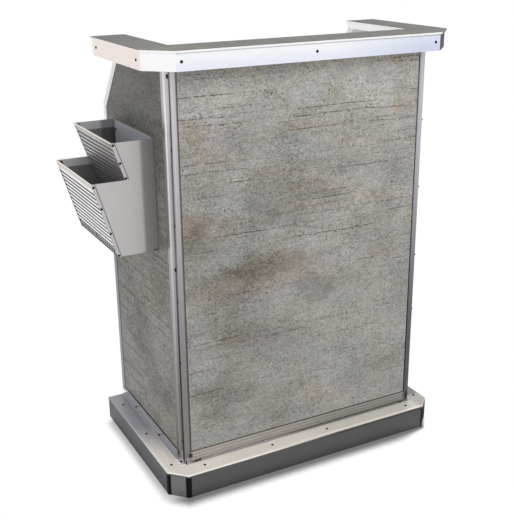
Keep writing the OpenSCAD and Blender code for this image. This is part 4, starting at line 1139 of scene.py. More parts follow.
Finish = Union[ConcreteLaminate, SatinMetal, BoardWood, FacedBoard, BlackFastener, MouldedNylon]


def linked(name: str, data: bpy.types.ID) -> bpy.types.Object:
    """Makes an object of some data and links it to the scene.

    Args:
        name: the object's name.
        data: its mesh, lamp or camera.

    Returns:
        The object.
    """
    made = bpy.data.objects.new(name, data)
    bpy.context.scene.collection.objects.link(made)
    return made


def baked(name: str, mesh: bmesh.types.BMesh) -> bpy.types.Mesh:
    """Turns a mesh under construction into mesh data and frees it.

    Args:
        name: the name of the data.
        mesh: the mesh under construction.

    Returns:
        The mesh data.
    """
    data = bpy.data.meshes.new(name)
    mesh.to_mesh(data)
    mesh.free()
    return data


class Workshop:
    """Makes each finish once, dresses the imported nodes and attaches each new piece to the root body."""

    WELD_DISTANCE = 0.00001
    BEVEL_FROM = math.radians(40)
    BEVEL_SEGMENTS = 2

    def __init__(self) -> None:
        """Starts with no material made."""
        self.made: dict[str, bpy.types.Material] = {}
        self.count = 0

    def material(self, finish: Finish) -> bpy.types.Material:
        """Gives a finish's material, which is made the first time.

        Args:
            finish: the finish.

        Returns:
            Its material.
        """
        if finish.name not in self.made:
            self.made[finish.name] = finish.material()
        return self.made[finish.name]

    def dress(self, finish: Finish, *nodes: str, edge: float = 0.0) -> None:
        """Gives carried-over nodes their finish.

        Args:
            finish: the finish for all of each node.
            nodes: the nodes' names.
            edge: the width of the rounding on their sharp edges, or 0 for none.
        """
        for node in nodes:
            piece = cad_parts[node]
            piece.data.materials.clear()
            piece.data.materials.append(self.material(finish))
            if edge > 0:
                self.soften(piece, edge)
            self.count += 1
            log.info("dressed %s in %s", node, finish.name)

    def soften(self, piece: bpy.types.Object, edge: float) -> None:
        """Rounds a piece's sharp edges over a width.

        Args:
            piece: the piece.
            edge: the width of the rounding.
        """
        weld = piece.modifiers.new("weld", "WELD")
        weld.merge_threshold = self.WELD_DISTANCE
        bevel = piece.modifiers.new("soft_edges", "BEVEL")
        bevel.width = edge
        bevel.segments = self.BEVEL_SEGMENTS
        bevel.limit_method = "ANGLE"
        bevel.angle_limit = self.BEVEL_FROM
        bevel.harden_normals = True

    def place(self, name: str, mesh: bmesh.types.BMesh, finish: Finish, slot: str,
              replaces: Sequence[str] = (), smooth: float = 40.0) -> bpy.types.Object:
        """Turns a mesh into a piece that rides on the stand.

        Args:
            name: the piece's name.
            mesh: its mesh, which is freed.
            finish: its finish.
            slot: not used.
            replaces: the nodes that it stands for.
            smooth: the angle in degrees above which an edge stays sharp.

        Returns:
            The new object.
        """
        bmesh.ops.recalc_face_normals(mesh, faces=mesh.faces)
        data = baked(name, mesh)
        data.shade_smooth()
        data.set_sharp_from_angle(angle=math.radians(smooth))
        data.materials.append(self.material(finish))
        piece = linked(name, data)
        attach(piece, ROOT)
        if replaces:
            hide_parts(*replaces)
        self.count += 1
        log.info("placed %s in %s, %d faces", name, finish.name, len(data.polygons))
        return piece


def loft(mesh: bmesh.types.BMesh, rings: Sequence[Sequence[Vector]], closed: bool = False) -> None:
    """Skins a row of rings that have the same number of points.

    Args:
        mesh: the mesh that the skin goes to.
        rings: the rings' points, in order.
        closed: joins the last ring to the first one, instead of capping both.
    """
    made = [[mesh.verts.new(point) for point in ring] for ring in rings]
    pairs = list(zip(made, made[1:]))
    if closed:
        pairs.append((made[-1], made[0]))
    else:
        mesh.faces.new(made[0][::-1])
        mesh.faces.new(made[-1])
    for first, second in pairs:
        for i in range(len(first)):
            j = (i + 1) % len(first)
            mesh.faces.new([first[i], first[j], second[j], second[i]])


@dataclass(frozen=True)
class PanelSeal:
    """The dark seal in the gap round a panel, a little below its face, with a rounded front; its dark colour
    also stands in for the shade in the gap.
    """

    name: str
    panel: str
    axis: Axis
    finish: Finish
    gap: float = 0.003
    clear: float = 0.00015
    recess: float = 0.0018
    crown: float = 0.0006
    depth: float = 0.0028

    @property
    def section(self) -> tuple[tuple[float, float], ...]:
        """Gives the seal's section as distances out from the panel's edge and back from its face.

        Returns:
            The section's points, in order.
        """
        far, shoulder, back = self.gap - self.clear, self.recess + self.crown * 0.2, self.recess + self.depth
        return ((self.clear, self.recess + self.crown), (self.gap * 0.3, shoulder),
                (self.gap * 0.5, self.recess), (self.gap * 0.7, shoulder),
                (far, self.recess + self.crown), (far, back), (self.clear, back))

    def corners(self, plane: tuple[int, int]) -> list[Vector]:
        """Gives the corners of the panel's outline in a plane, in order.

        Args:
            plane: the places of the plane's two axes in a vector.

        Returns:
            The corners.
        """
        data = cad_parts[self.panel].data
        seen = {(round(v.co[plane[0]], 5), round(v.co[plane[1]], 5)) for v in data.vertices}
        points = [Vector(point) for point in sorted(seen)]
        return [points[i] for i in convex_hull_2d(points)]

    def build(self, shop: "Workshop") -> None:
        """Runs the seal round the panel.

        Args:
            shop: where the pieces are made.
        """
        plane = tuple(k for k in range(3) if k != self.axis.index)
        corners = self.corners(plane)
        middle = sum(corners, Vector((0.0, 0.0))) / len(corners)
        reach = [v.co[self.axis.index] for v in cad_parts[self.panel].data.vertices]
        sign = 1.0 if sum(reach) > 0 else -1.0
        face = max(sign * r for r in reach)
        rings = []
        for i, corner in enumerate(corners):
            normals = []
            for start, end in ((corners[i - 1], corner), (corner, corners[(i + 1) % len(corners)])):
                along = (end - start).normalized()
                normal = Vector((along.y, -along.x))
                normals.append(normal if normal.dot(corner - middle) > 0 else -normal)
            mitre = (normals[0] + normals[1]) / (1 + normals[0].dot(normals[1]))
            ring = []
            for grow, sink in self.section:
                flat = corner + mitre * grow
                point = Vector((0.0, 0.0, 0.0))
                point[plane[0]], point[plane[1]] = flat
                point[self.axis.index] = sign * (face - sink)
                ring.append(point)
            rings.append(ring)
        mesh = bmesh.new()
        loft(mesh, rings, closed=True)
        shop.place(self.name, mesh, self.finish, "glide", smooth=50.0)


@dataclass(frozen=True)
class Lozenge:
    """A thin upright plate with round corners and a softened face.

    The place is the middle of its back, and the direction is the one that its face looks in.
    """

    at: Point
    out: Point
    width: float
    height: float
    corner: float
    lift: float = 0.0007
    sunk: float = 0.0002
    softening: float = 0.0004
    corner_steps: int = 3

    def add(self, mesh: bmesh.types.BMesh) -> None:
        """Adds the plate to a mesh.

        Args:
            mesh: the mesh that it is added to.
        """
        out = Vector(self.out)
        level = Vector(UP).cross(out)
        rings = []
        for shrink, rise in ((0.0, -self.sunk), (0.0, self.lift * 0.5), (self.softening, self.lift)):
            ring = []
            reach = self.corner - shrink
            for quarter, (a, b) in enumerate(((1, 1), (-1, 1), (-1, -1), (1, -1))):
                middle = (a * (self.width / 2 - self.corner), b * (self.height / 2 - self.corner))
                for step in range(self.corner_steps + 1):
                    angle = (quarter + step / self.corner_steps) * math.pi / 2
                    ring.append(Vector(self.at) + out * rise + level * (middle[0] + reach * math.cos(angle))
                                + Vector(UP) * (middle[1] + reach * math.sin(angle)))
            rings.append(ring)
        loft(mesh, rings)


@dataclass(frozen=True)
class ScrewHead:
    """The shape of a fastener's head, from which the whole fastener is turned."""

    hex_width: float = 0.40
    hex_fit: float = 0.93
    hex_lip: float = 1.22
    socket_depth: float = 0.62
    rim_height: float = 0.16
    draft: float = 0.97
    dome_steps: tuple[float, ...] = (0.25, 0.45, 0.62)
    dome_reach: float = 0.72
    sides: int = 24

    def add(self, mesh: bmesh.types.BMesh, at: Vector, out: Vector, radius: float, height: float,
            shank: float, length: float) -> None:
        """Adds one fastener.

        Args:
            mesh: the mesh that it goes to.
            at: the middle of the seat under its head.
            out: the direction in which the head points.
            radius: the head's radius.
            height: the head's height.
            shank: the shank's radius.
            length: the shank's length.
        """
        turn = out.to_track_quat("Z", "Y").to_matrix()
        hexagon = radius * self.hex_width
        profile = [(shank, -length, False), (shank, 0.0, False), (radius * self.draft, 0.0, False),
                   (radius, height * self.rim_height, False)]
        for share in self.dome_steps:
            bulge = math.sqrt(max(0.0, 1 - (1 - share) ** 2))
            lift = height * (self.rim_height + (1 - self.rim_height) * bulge)
            profile.append((radius * (1 - share * self.dome_reach), min(lift, height), False))
        profile.append((hexagon * self.hex_lip, height, False))
        profile.append((hexagon, height * self.draft, True))
        profile.append((hexagon * self.draft, height * (1 - self.socket_depth), True))
        rings = []
        for r, z, hexed in profile:
            ring = []
            for i in range(self.sides):
                angle = 2 * math.pi * i / self.sides
                reach = r
                if hexed:
                    reach = r / math.cos(angle % (math.pi / 3) - math.pi / 6) * self.hex_fit
                ring.append(at + turn @ Vector((reach * math.cos(angle), reach * math.sin(angle), z)))
            rings.append(ring)
        loft(mesh, rings)


@dataclass
class FastenerSet:
    """All fasteners of one node, redrawn with real heads where the node has them."""

    POINTS_PER_METRE: ClassVar[float] = 2e5
    RIM_SHARE: ClassVar[float] = 0.97
    END_DEPTH: ClassVar[float] = 1e-5
    AXIS_RADIUS: ClassVar[float] = 1e-4

    node: str
    head: ScrewHead = ScrewHead()
    hint: Optional[Axis] = None
    flare: float = 1.15
    raised: float = 0.0
    ahead: float = 0.0

    def islands(self) -> list[list[Vector]]:
        """Splits the node's points into those of each fastener.

        Returns:
            The points of each fastener.
        """
        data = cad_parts[self.node].data
        parent = list(range(len(data.vertices)))

        def find(i: int) -> int:
            """Gives the point that stands for all those joined with this one.

            Args:
                i: the point's index.

            Returns:
                That point's index.
            """
            while parent[i] != i:
                parent[i] = parent[parent[i]]
                i = parent[i]
            return i

        at: dict[tuple[int, ...], int] = {}
        for v in data.vertices:
            key = tuple(round(c * self.POINTS_PER_METRE) for c in v.co)
            parent[find(v.index)] = find(at.setdefault(key, v.index))
        for edge in data.edges:
            parent[find(edge.vertices[0])] = find(edge.vertices[1])
        groups: dict[int, list[Vector]] = {}
        for v in data.vertices:
            groups.setdefault(find(v.index), []).append(v.co.copy())
        return list(groups.values())

    def build(self, shop: Workshop) -> None:
        """Replaces the node with one mesh of detailed fasteners.

        Args:
            shop: where the pieces are made.
        """
        mesh = bmesh.new()
        for points in self.islands():
            low = Vector([min(p[k] for p in points) for k in range(3)])
            high = Vector([max(p[k] for p in points) for k in range(3)])
            size = high - low
            axis = self.hint.index if self.hint else max(range(3), key=lambda k: size[k])
            middle = (low + high) / 2
            others = [k for k in range(3) if k != axis]
            radius = max(size[k] for k in others) / 2
            reach = [(math.hypot(*(p[k] - middle[k] for k in others)), p[axis]) for p in points]
            rim = [z for r, z in reach if r > radius * self.RIM_SHARE]
            sign = 1.0 if abs(high[axis] - max(rim)) < abs(min(rim) - low[axis]) else -1.0
            seat = min(rim) if sign > 0 else max(rim)
            tip, top = (low[axis], high[axis]) if sign > 0 else (high[axis], low[axis])
            shank = min(r for r, z in reach if abs(z - tip) < self.END_DEPTH and r > self.AXIS_RADIUS)
            at, out = middle.copy(), Vector((0.0, 0.0, 0.0))
            at[axis], out[axis] = seat + sign * self.raised, sign
            at.y -= self.ahead
            self.head.add(mesh, at, out, radius * self.flare, abs(top - seat), shank,
                          abs(seat - tip) + self.raised)
        shop.place(self.node + "_detailed", mesh, SCREW_BLACK, "screw", [self.node], smooth=35.0)


@dataclass
class Plinth:
    """The base: a folded plate over a dark skirt, on timber rails and glides."""

    glide_edge: float = 0.0006
    skirt_chamfer: float = 0.044
    strip_clear: float = 0.0002
    strip_leg: float = 0.0088
    right_strip_leg: float = 0.0045
    strip_rise: float = 0.0008
    strip_steps: tuple[tuple[float, float], ...] = ((1.0, 0.35), (0.93, 1.0), (0.12, 1.3))

    def build(self, shop: Workshop) -> None:
        """Dresses the base and redraws its screws.

        Args:
            shop: where the pieces are made.
        """
        shop.dress(PLATE_METAL, "base_top_plate")
        shop.dress(SKIRT_METAL, "base_skirt")
        shop.dress(PLYWOOD, "base_rail_front", "base_rail_rear", "base_deck")
        shop.dress(SIDE_TIMBER, "base_rail_left", "base_rail_right", "base_rail_middle",
                   "base_corner_blocks")
        shop.dress(NYLON, "base_glides", edge=self.glide_edge)
        FastenerSet("base_screws").build(shop)
        self.add_corner_strips(shop)

    def add_corner_strips(self, shop: Workshop) -> None:
        """Folds a dark strip round each bend of the skirt's front corners.

        Args:
            shop: where the pieces are made.
        """
        mesh = bmesh.new()
        back, aside, along = Vector((0.0, 1.0)), Vector((-1.0, 0.0)), Vector((-1.0, -1.0)).normalized()
        bends = ((Vector((SKIRT_SIDE, SKIRT_FRONT + self.skirt_chamfer)), along, back),
                 (Vector((SKIRT_SIDE - self.skirt_chamfer, SKIRT_FRONT)), aside, -along))
        ends = (SKIRT_FOOT + self.strip_clear, SKIRT_TOP - self.strip_clear)
        for side, leg in ((-1.0, self.strip_leg), (1.0, self.right_strip_leg)):
            for bend, one, other in bends:
                outline = self.strip_outline(bend, one, other, leg)
                loft(mesh, [[Vector((side * p.x, p.y, z)) for p in outline] for z in ends])
        shop.place("base_corner_strips", mesh, STRIP_METAL, "skirt_metal", smooth=30.0)

    def strip_outline(self, bend: Vector, one: Vector, other: Vector, length: float) -> list[Vector]:
        """Gives a strip's outline in plan.

        Args:
            bend: the skirt's bend that it is folded round.
            one: the direction of one leg.
            other: the direction of the other leg.
            length: the length of each leg.

        Returns:
            Its points, in order.
        """
        out = -(one + other).normalized()
        points = []
        for leg, steps in ((one, self.strip_steps), (other, self.strip_steps[::-1])):
            normal = (out - leg * out.dot(leg)).normalized()
            for share, rise in steps:
                points.append(bend + leg * (length * share) + normal * (self.strip_rise * rise))
        points += [bend + other * length, bend, bend + one * length]
        return points


@dataclass
class Sills:
    """The angles that hold the frames to the base."""

    def build(self, shop: Workshop) -> None:
        """Dresses the sills and redraws their screws.

        Args:
            shop: where the pieces are made.
        """
        shop.dress(SILL_METAL, "sill_left", "sill_right", "sill_front")
        FastenerSet("sill_screws").build(shop)
        FastenerSet("front_sill_screws", flare=1.0).build(shop)


@dataclass
class CornerPosts:
    """The grooved posts behind the front frame, with their screws and the dark seam, whose darkness is painted
    shade in the posts' finish.
    """

    def build(self, shop: Workshop) -> None:
        """Dresses the posts and redraws their screws and rivets.

        Args:
            shop: where the pieces are made.
        """
        shop.dress(POST_METAL, "corner_post_left", "corner_post_right")
        FastenerSet("post_screws").build(shop)
        FastenerSet("seam_rivets", flare=2.2, raised=0.0061, ahead=0.0018).build(shop)


@dataclass
class FrontFrame:
    """The guest's side: stiles, rails, board and laminate."""

    seal: PanelSeal = PanelSeal("front_panel_seal", "front_laminate", Axis.Y, BROWN_SEAL)
    # Dark clips and plugs at the feet; their darkness also stands in for the shade of slots and gaps there
    clips: tuple[Lozenge, ...] = (
        Lozenge((-0.3676, BODY_FRONT, 0.0975), FORWARD, 0.0105, 0.0120, 0.00315),
        Lozenge((-0.3816, BODY_FRONT, 0.0800), FORWARD, 0.0042, 0.0110, 0.00126),
        Lozenge((-0.3484, BODY_FRONT, 0.0766), FORWARD, 0.0070, 0.0042, 0.00126),
        Lozenge((-0.3388, BODY_FRONT, 0.0774), FORWARD, 0.0072, 0.0060, 0.00180),
        Lozenge((-0.3855, -0.1677, 0.0885), LEFTWARD, 0.0064, 0.0160, 0.00192),
        Lozenge((0.3765, BODY_FRONT, 0.0920), FORWARD, 0.0060, 0.0260, 0.00180),
        Lozenge((0.3855, -0.1677, 0.0885), ASIDE, 0.0064, 0.0160, 0.00192))

    def build(self, shop: Workshop) -> None:
        """Dresses the front frame and its panel, and seals the gap between them.

        Args:
            shop: where the pieces are made.
        """
        shop.dress(FRAME_METAL, "front_stile_left", "front_stile_right")
        shop.dress(RAIL_METAL, "front_bottom_rail", "front_top_rail")
        shop.dress(WHITE_BOARD, "front_board")
        shop.dress(CONCRETE_FRONT, "front_laminate")
        self.seal.build(shop)
        self.add_foot_clips(shop)

    def add_foot_clips(self, shop: Workshop) -> None:
        """Adds the small dark clips and plugs at the frame's feet; their dark colour also stands in for the
        shade of the slots and gaps there.

        Args:
            shop: where the pieces are made.
        """
        mesh = bmesh.new()
        for clip in self.clips:
            clip.add(mesh)
        shop.place("frame_foot_clips", mesh, DARK_SEAL, "screw", smooth=35.0)


@dataclass
class SideFrame:
    """One side's frame and panel."""

    side: str

    def build(self, shop: Workshop) -> None:
        """Dresses the side's members and its panel, and seals the gap between them.

        Args:
            shop: where the pieces are made.
        """
        shop.dress(NOSE_METAL, f"side_front_stile_{self.side}")
        shop.dress(REAR_METAL, f"side_rear_stile_{self.side}", f"side_slope_stile_{self.side}")
        shop.dress(SIDE_RAIL_METAL, f"side_bottom_rail_{self.side}", f"side_top_rail_{self.side}")
        shop.dress(WHITE_BOARD, f"side_board_{self.side}")
        shop.dress(CONCRETE_SIDE, f"side_laminate_{self.side}")
        PanelSeal(f"{self.side}_panel_seal", f"side_laminate_{self.side}", Axis.X, DARK_SEAL).build(shop)


@dataclass
class HostSide:
    """The worktop and shelf behind the panels."""

    edge: float = 0.0008

    def build(self, shop: Workshop) -> None:
        """Dresses the worktop, the shelf and what holds them.

        Args:
            shop: where the pieces are made.
        """
        shop.dress(SLATE_WORKTOP, "worktop", edge=self.edge)
        shop.dress(SHELF_BOARD, "shelf", edge=self.edge)
        shop.dress(SHELF_METAL, "shelf_edgings", edge=self.edge)
        shop.dress(SHELF_METAL, "shelf_cleats")
        FastenerSet("cleat_screws").build(shop)


@dataclass
class Ledge:
    """The U-shaped ledge with its cap plate, laminate, band and trim."""

    cap_edge: float = 0.0009

    def build(self, shop: Workshop) -> None:
        """Dresses the ledge and redraws its screws.

        Args:
            shop: where the pieces are made.
        """
        shop.dress(CAP_METAL, "top_cap_plate", edge=self.cap_edge)
        shop.dress(SLATE_LEDGE, "top_laminate")
        shop.dress(PLYWOOD, "top_core", "top_subframe")
        shop.dress(BAND_METAL, "top_band", "top_inner_trim")
        FastenerSet("band_screws").build(shop)
        FastenerSet("ledge_screws").build(shop)


@dataclass(frozen=True)
class LouvredSheet:
    """The sheet of one tier: a folded hem, a plain band, louvres pressed out of it and a plain foot."""

    tier: Tier
    front: float = BIN_FRONT + BIN_SHEET
    rear: float = BIN_REAR - BIN_SHEET
    plain_end: float = 0.0022
    full_from: float = 0.0052
    groove: float = 0.0006
    groove_ends: tuple[float, float] = (0.49, 0.97)
    foot_start: float = 0.0004
    rise: tuple[float, ...] = (0.0, 0.0, 0.75, 1.0)
    lip: tuple[tuple[float, float], ...] = ((0.0, 0.0), (0.0002, 0.6), (0.0009, 1.0))
    hem_end: tuple[tuple[float, float], ...] = ((-0.0006, 1.0), (0.0, 0.7), (0.0001, 0.0))
    flange_lap: float = 0.9
    flange_chamfer: float = 0.003
    hood: tuple[tuple[float, float], ...] = (
        (0.02, 0.0), (0.10, 0.0003), (0.22, 0.0006), (0.32, 0.0008), (0.40, 0.0008), (0.45, 0.0007),
        (0.48, 0.0003))

    def section(self, full: float) -> list[tuple[float, float]]:
        """Gives the sheet's section as distances down and out.

        Args:
            full: how far the louvres stand out here, from 0 to 1.

        Returns:
            Its points: down the outer face and back up the inner one.
        """
        tier, sheet = self.tier, BIN_SHEET
        face = [(tier.band, 0.0)]
        for i in range(tier.louvres):
            start = tier.band + i * tier.pitch
            face += [(start + share * tier.pitch, lift * full) for share, lift in self.hood]
            face += [(start + share * tier.pitch, -self.groove * full) for share in self.groove_ends]
        face += [(tier.band + tier.louvres * tier.pitch + self.foot_start, 0.0), (tier.run, 0.0)]
        hem = [(down, sheet * share) for down, share in self.lip]
        hem += [(tier.hem + down, sheet * share) for down, share in self.hem_end]
        back = [(down, out - sheet) for down, out in reversed(face)]
        return hem + face + back + [(down, -sheet * share) for down, share in self.lip[:0:-1]]

    def add(self, mesh: bmesh.types.BMesh) -> None:
        """Adds the sheet to a mesh.

        Args:
            mesh: the mesh that it is added to.
        """
        ends = (0.0, self.plain_end, (self.plain_end + self.full_from) / 2, self.full_from)
        columns = [(self.front + end, share) for end, share in zip(ends, self.rise)]
        columns += [(self.rear - end, share) for end, share in zip(ends[::-1], self.rise[::-1])]
        loft(mesh, [[self.tier.at(down, out, y) for down, out in self.section(full)] for y, full in columns])

    def add_flange(self, mesh: bmesh.types.BMesh, y: float, width: float, length: float) -> None:
        """Adds the flange that is folded in along one cheek.

        Args:
            mesh: the mesh that it goes to.
            y: the flange's outer side.
            width: how far it reaches in behind the face.
            length: its length down the face.
        """
        inner = y + math.copysign(BIN_SHEET, BIN_REAR + BIN_FRONT - 2 * y)
        start = width * self.tier.lean
        lap = -BIN_SHEET * self.flange_lap
        corners = [(start, lap), (length, lap), (length - self.flange_chamfer, -width),
                   (start + self.flange_chamfer, -width)]
        loft(mesh, [[self.tier.at(down, out, side) for down, out in corners] for side in (y, inner)])


@dataclass
class MenuBin:
    """The two-tier menu bin: cheeks, back, louvred faces, a ribbed foot and fasteners."""

    flange: float = 0.014
    floor_bend: float = 0.0006
    wall_gap: float = 0.003
    ribs: int = 17
    rib_width: float = 0.0034
    rib_margin: float = 0.010
    rib_length: tuple[tuple[float, float], ...] = (
        (0.1945, 0.55), (0.1955, 1.0), (0.2035, 1.0), (0.2045, 0.55))
    rib_section: tuple[tuple[float, float], ...] = (
        (-1.0, -0.0002), (-1.0, 0.0003), (-0.4, 0.0009), (0.4, 0.0009), (1.0, 0.0003), (1.0, -0.0002))
    foot_screws: tuple[tuple[float, float], ...] = (
        (BIN_FRONT + 0.006, 0.1925), ((BIN_FRONT + BIN_REAR) / 2, 0.1925), (BIN_REAR - 0.006, 0.1900))
    foot_screw_head: tuple[float, float] = (0.0032, 0.0014)
    foot_screw_shank: tuple[float, float] = (0.0012, 0.003)
    tab: Lozenge = Lozenge((-0.3930, BIN_FRONT - 0.0001, 0.6762), FORWARD, 0.0140, 0.0034, 0.0008,
                           lift=0.0008)

    def build(self, shop: Workshop) -> None:
        """Dresses the bin's plain sheets and builds its faces and what is on them.

        Args:
            shop: where the pieces are made.
        """
        shop.dress(BACK_METAL, "bin_back")
        shop.dress(CHEEK_METAL, "bin_cheek_front", "bin_cheek_rear")
        self.add_face(shop, UPPER, "bin_upper_louvres", UPPER_LOUVRES)
        self.add_face(shop, LOWER, "bin_lower_louvres", LOWER_LOUVRES)
        self.add_ribs(shop)
        self.add_foot_screws(shop)
        self.add_foot_tab(shop)
        FastenerSet("bin_rivets", hint=Axis.Y, flare=1.4).build(shop)
        FastenerSet("bin_wall_screws").build(shop)

    def add_face(self, shop: Workshop, tier: Tier, name: str, finish: SatinMetal) -> None:
        """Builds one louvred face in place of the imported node.

        Args:
            shop: where the piece is made.
            tier: the face's place and pattern.
            name: the piece's name.
            finish: its finish.
        """
        mesh = bmesh.new()
        sheet = LouvredSheet(tier)
        sheet.add(mesh)
        for y in (sheet.front, sheet.rear):
            sheet.add_flange(mesh, y, self.flange, tier.flange_end)
        if tier is LOWER:
            self.add_floor(mesh)
        shop.place(name, mesh, finish, "louvre_metal", [tier.node], smooth=50.0)

    def add_floor(self, mesh: bmesh.types.BMesh) -> None:
        """Adds the bin's floor, which is folded in from the lower face.

        Args:
            mesh: the mesh that it is added to.
        """
        outer = LOWER.at(LOWER.run, 0.0).x
        bend, end = outer + self.floor_bend, WALL - self.wall_gap
        section = [(outer, BIN_FOOT + self.floor_bend), (bend, BIN_FOOT), (end, BIN_FOOT),
                   (end, BIN_FOOT + BIN_SHEET), (bend, BIN_FOOT + BIN_SHEET)]
        loft(mesh, [[Vector((x, y, z)) for x, z in section]
                    for y in (BIN_FRONT + BIN_SHEET, BIN_REAR - BIN_SHEET)])

    def add_ribs(self, shop: Workshop) -> None:
        """Adds the row of short ribs on the foot of the lower face.

        Args:
            shop: where the pieces are made.
        """
        mesh = bmesh.new()
        gap = (BIN_REAR - BIN_FRONT - 2 * self.rib_margin) / (self.ribs - 1)
        for i in range(self.ribs):
            middle = BIN_FRONT + self.rib_margin + i * gap
            rings = []
            for down, grow in self.rib_length:
                half = self.rib_width / 2 * grow
                rings.append([LOWER.at(down, out, middle + half * share) for share, out in self.rib_section])
            loft(mesh, rings)
        shop.place("bin_foot_ribs", mesh, RIB_METAL, "louvre_metal", smooth=50.0)

    def add_foot_screws(self, shop: Workshop) -> None:
        """Adds the three small screws on the foot of the lower face.

        Args:
            shop: where the pieces are made.
        """
        mesh = bmesh.new()
        for y, down in self.foot_screws:
            ScrewHead().add(mesh, LOWER.at(down, 0.0, y), Vector(LOWER.out), *self.foot_screw_head,
                            *self.foot_screw_shank)
        shop.place("bin_foot_screws", mesh, SCREW_BLACK, "screw", smooth=35.0)

    def add_foot_tab(self, shop: Workshop) -> None:
        """Adds the dark tab at the foot of the front cheek, next to the wall.

        Args:
            shop: where the pieces are made.
        """
        mesh = bmesh.new()
        self.tab.add(mesh)
        shop.place("bin_foot_tab", mesh, BROWN_SEAL, "screw", smooth=35.0)


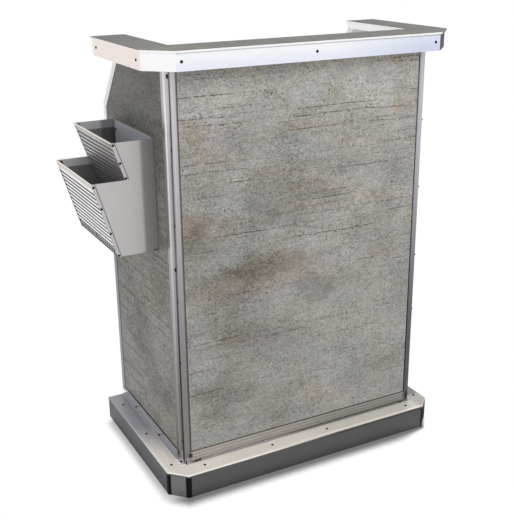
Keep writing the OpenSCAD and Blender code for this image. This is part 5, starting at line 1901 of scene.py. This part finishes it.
@dataclass
class Studio:
    """The floor, the backdrop's light and the lamp."""

    ambient: float = 0.45
    floor_colour: Rgb = (0.82, 0.82, 0.82)
    floor_lift: float = 0.30
    floor_size: float = 60.0
    base_half: Point = (BASE_SIDE, -BASE_FRONT, 10.0)
    base_chamfer: float = 0.045
    # How far and how dark the painted shadow round the base reaches
    side_shadow_reach: float = 0.032
    front_shadow_reach: float = 0.050
    right_shadow_cut: float = 0.85
    side_painted_shadow: float = 0.22
    front_painted_shadow: float = 0.76
    front_zone: tuple[float, float] = (-0.225, -0.275)
    right_zone: tuple[float, float] = (0.28, 0.44)
    shadow_fade: tuple[float, float] = (0.10, 1.0)
    key_at: Point = (-0.4, -3.6, 3.8)
    key_towards: Point = (0.0, -0.2, 0.75)
    key_size: float = 2.6
    key_watts: float = 112.0

    def build(self) -> None:
        """Builds the floor, the world and the lamp."""
        self.add_floor()
        self.add_world()
        self.add_lamp("key", self.key_at, self.key_towards, self.key_size, self.key_watts)

    def add_floor(self) -> None:
        """Lays a plain pale floor that keeps the stand's shadow, has a painted shadow close round the base,
        and is white farther out.
        """
        mesh = bmesh.new()
        bmesh.ops.create_grid(mesh, x_segments=8, y_segments=8, size=self.floor_size / 2)
        floor = linked("floor", baked("floor", mesh))
        tree = ShaderTree.named("pale_floor")
        paint = tree.add("ShaderNodeBsdfDiffuse", {}, {"Color": self.floor_colour})
        glow = tree.add("ShaderNodeEmission", {}, {"Strength": self.floor_lift})
        white = tree.add("ShaderNodeEmission", {}, {"Strength": 1.0})
        near = tree.add("ShaderNodeAddShader", {}, {0: paint, 1: glow})
        black = tree.add("ShaderNodeEmission", {}, {"Strength": 0.0})
        # Painted shadow: the floor is darkened close round the base, more at the front and less at the right,
        # and fades out farther away
        past = abs(tree.place) - self.base_half
        beside, beyond = past.axis(Axis.X), past.axis(Axis.Y)
        corner = (beside + beyond + self.base_chamfer) / math.sqrt(2)
        away = beside.larger(beyond).larger(corner)
        front = tree.place.axis(Axis.Y).ramp(*self.front_zone)
        right = tree.place.axis(Axis.X).ramp(*self.right_zone)
        spread = front * (self.front_shadow_reach - self.side_shadow_reach) + self.side_shadow_reach
        reach = spread * (1.0 - right * self.right_shadow_cut)
        close = front * (self.front_painted_shadow - self.side_painted_shadow) + self.side_painted_shadow
        painted_shadow = tree.add("ShaderNodeMixShader", {}, {0: close, 1: near, 2: black})
        gone = (away / reach).ramp(*self.shadow_fade)
        shown = tree.add("ShaderNodeMixShader", {}, {0: gone, 1: painted_shadow, 2: white})
        floor.data.materials.append(tree.close(tree.add_seen(paint, shown)))
        log.info("laid the floor")

    def add_world(self) -> None:
        """Makes the backdrop white to the camera and to reflections, and plain light otherwise."""
        world = bpy.data.worlds.new("studio")
        tree = ShaderTree(world)
        light = tree.add("ShaderNodeBackground", {}, {"Color": (1.0, 1.0, 1.0), "Strength": self.ambient})
        white = tree.add("ShaderNodeBackground", {}, {"Color": (1.0, 1.0, 1.0), "Strength": 1.0})
        tree.add("ShaderNodeOutputWorld", {}, {"Surface": tree.add_seen(light, white)})
        bpy.context.scene.world = world

    def add_lamp(self, name: str, at: Point, towards: Point, size: float, watts: float) -> None:
        """Adds one square soft lamp.

        Args:
            name: its name.
            at: where it stands.
            towards: the point that it faces.
            size: the length of its side.
            watts: its power.
        """
        data = bpy.data.lights.new(name, "AREA")
        data.shape = "SQUARE"
        data.size = size
        data.energy = watts
        lamp = linked(name, data)
        lamp.visible_glossy = False
        lamp.location = at
        lamp.rotation_euler = (Vector(towards) - Vector(at)).to_track_quat("-Z", "Y").to_euler()
        log.info("added lamp %s", name)


@dataclass
class PhotoCamera:
    """A camera where the photographer's stood."""

    at: Point = (-1.2077, -2.2271, 1.4654)
    yaw: float = 0.4827
    pitch: float = -0.3466
    roll: float = -0.0111
    lens: float = 62.07
    sensor: float = 36.0
    clip: tuple[float, float] = (0.05, 60.0)

    def build(self) -> None:
        """Adds the camera and makes it the scene's."""
        data = bpy.data.cameras.new("photo_camera")
        data.lens = self.lens
        data.sensor_width = self.sensor
        data.clip_start, data.clip_end = self.clip
        camera = linked("photo_camera", data)
        ahead = Vector((math.sin(self.yaw) * math.cos(self.pitch),
                        math.cos(self.yaw) * math.cos(self.pitch), math.sin(self.pitch)))
        right = Vector((math.cos(self.yaw), -math.sin(self.yaw), 0.0))
        up = right.cross(ahead)
        rolled_right = right * math.cos(self.roll) + up * math.sin(self.roll)
        rolled_up = up * math.cos(self.roll) - right * math.sin(self.roll)
        turn = Matrix((rolled_right, rolled_up, -ahead)).transposed()
        camera.matrix_world = Matrix.Translation(self.at) @ turn.to_4x4()
        bpy.context.scene.camera = camera
        log.info("placed the camera")


def main() -> None:
    """Builds the scene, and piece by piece."""
    logging.basicConfig(level=logging.INFO, format="%(message)s")
    bpy.context.scene.view_settings.view_transform = "Standard"
    PhotoCamera().build()
    Studio().build()
    shop = Workshop()
    for assembly in (Plinth(), Sills(), CornerPosts(), FrontFrame(), SideFrame("left"), SideFrame("right"),
                     HostSide(), Ledge(), MenuBin()):
        assembly.build(shop)
    log.info("%d pieces in all", shop.count)


if __name__ == "__main__":
    main()
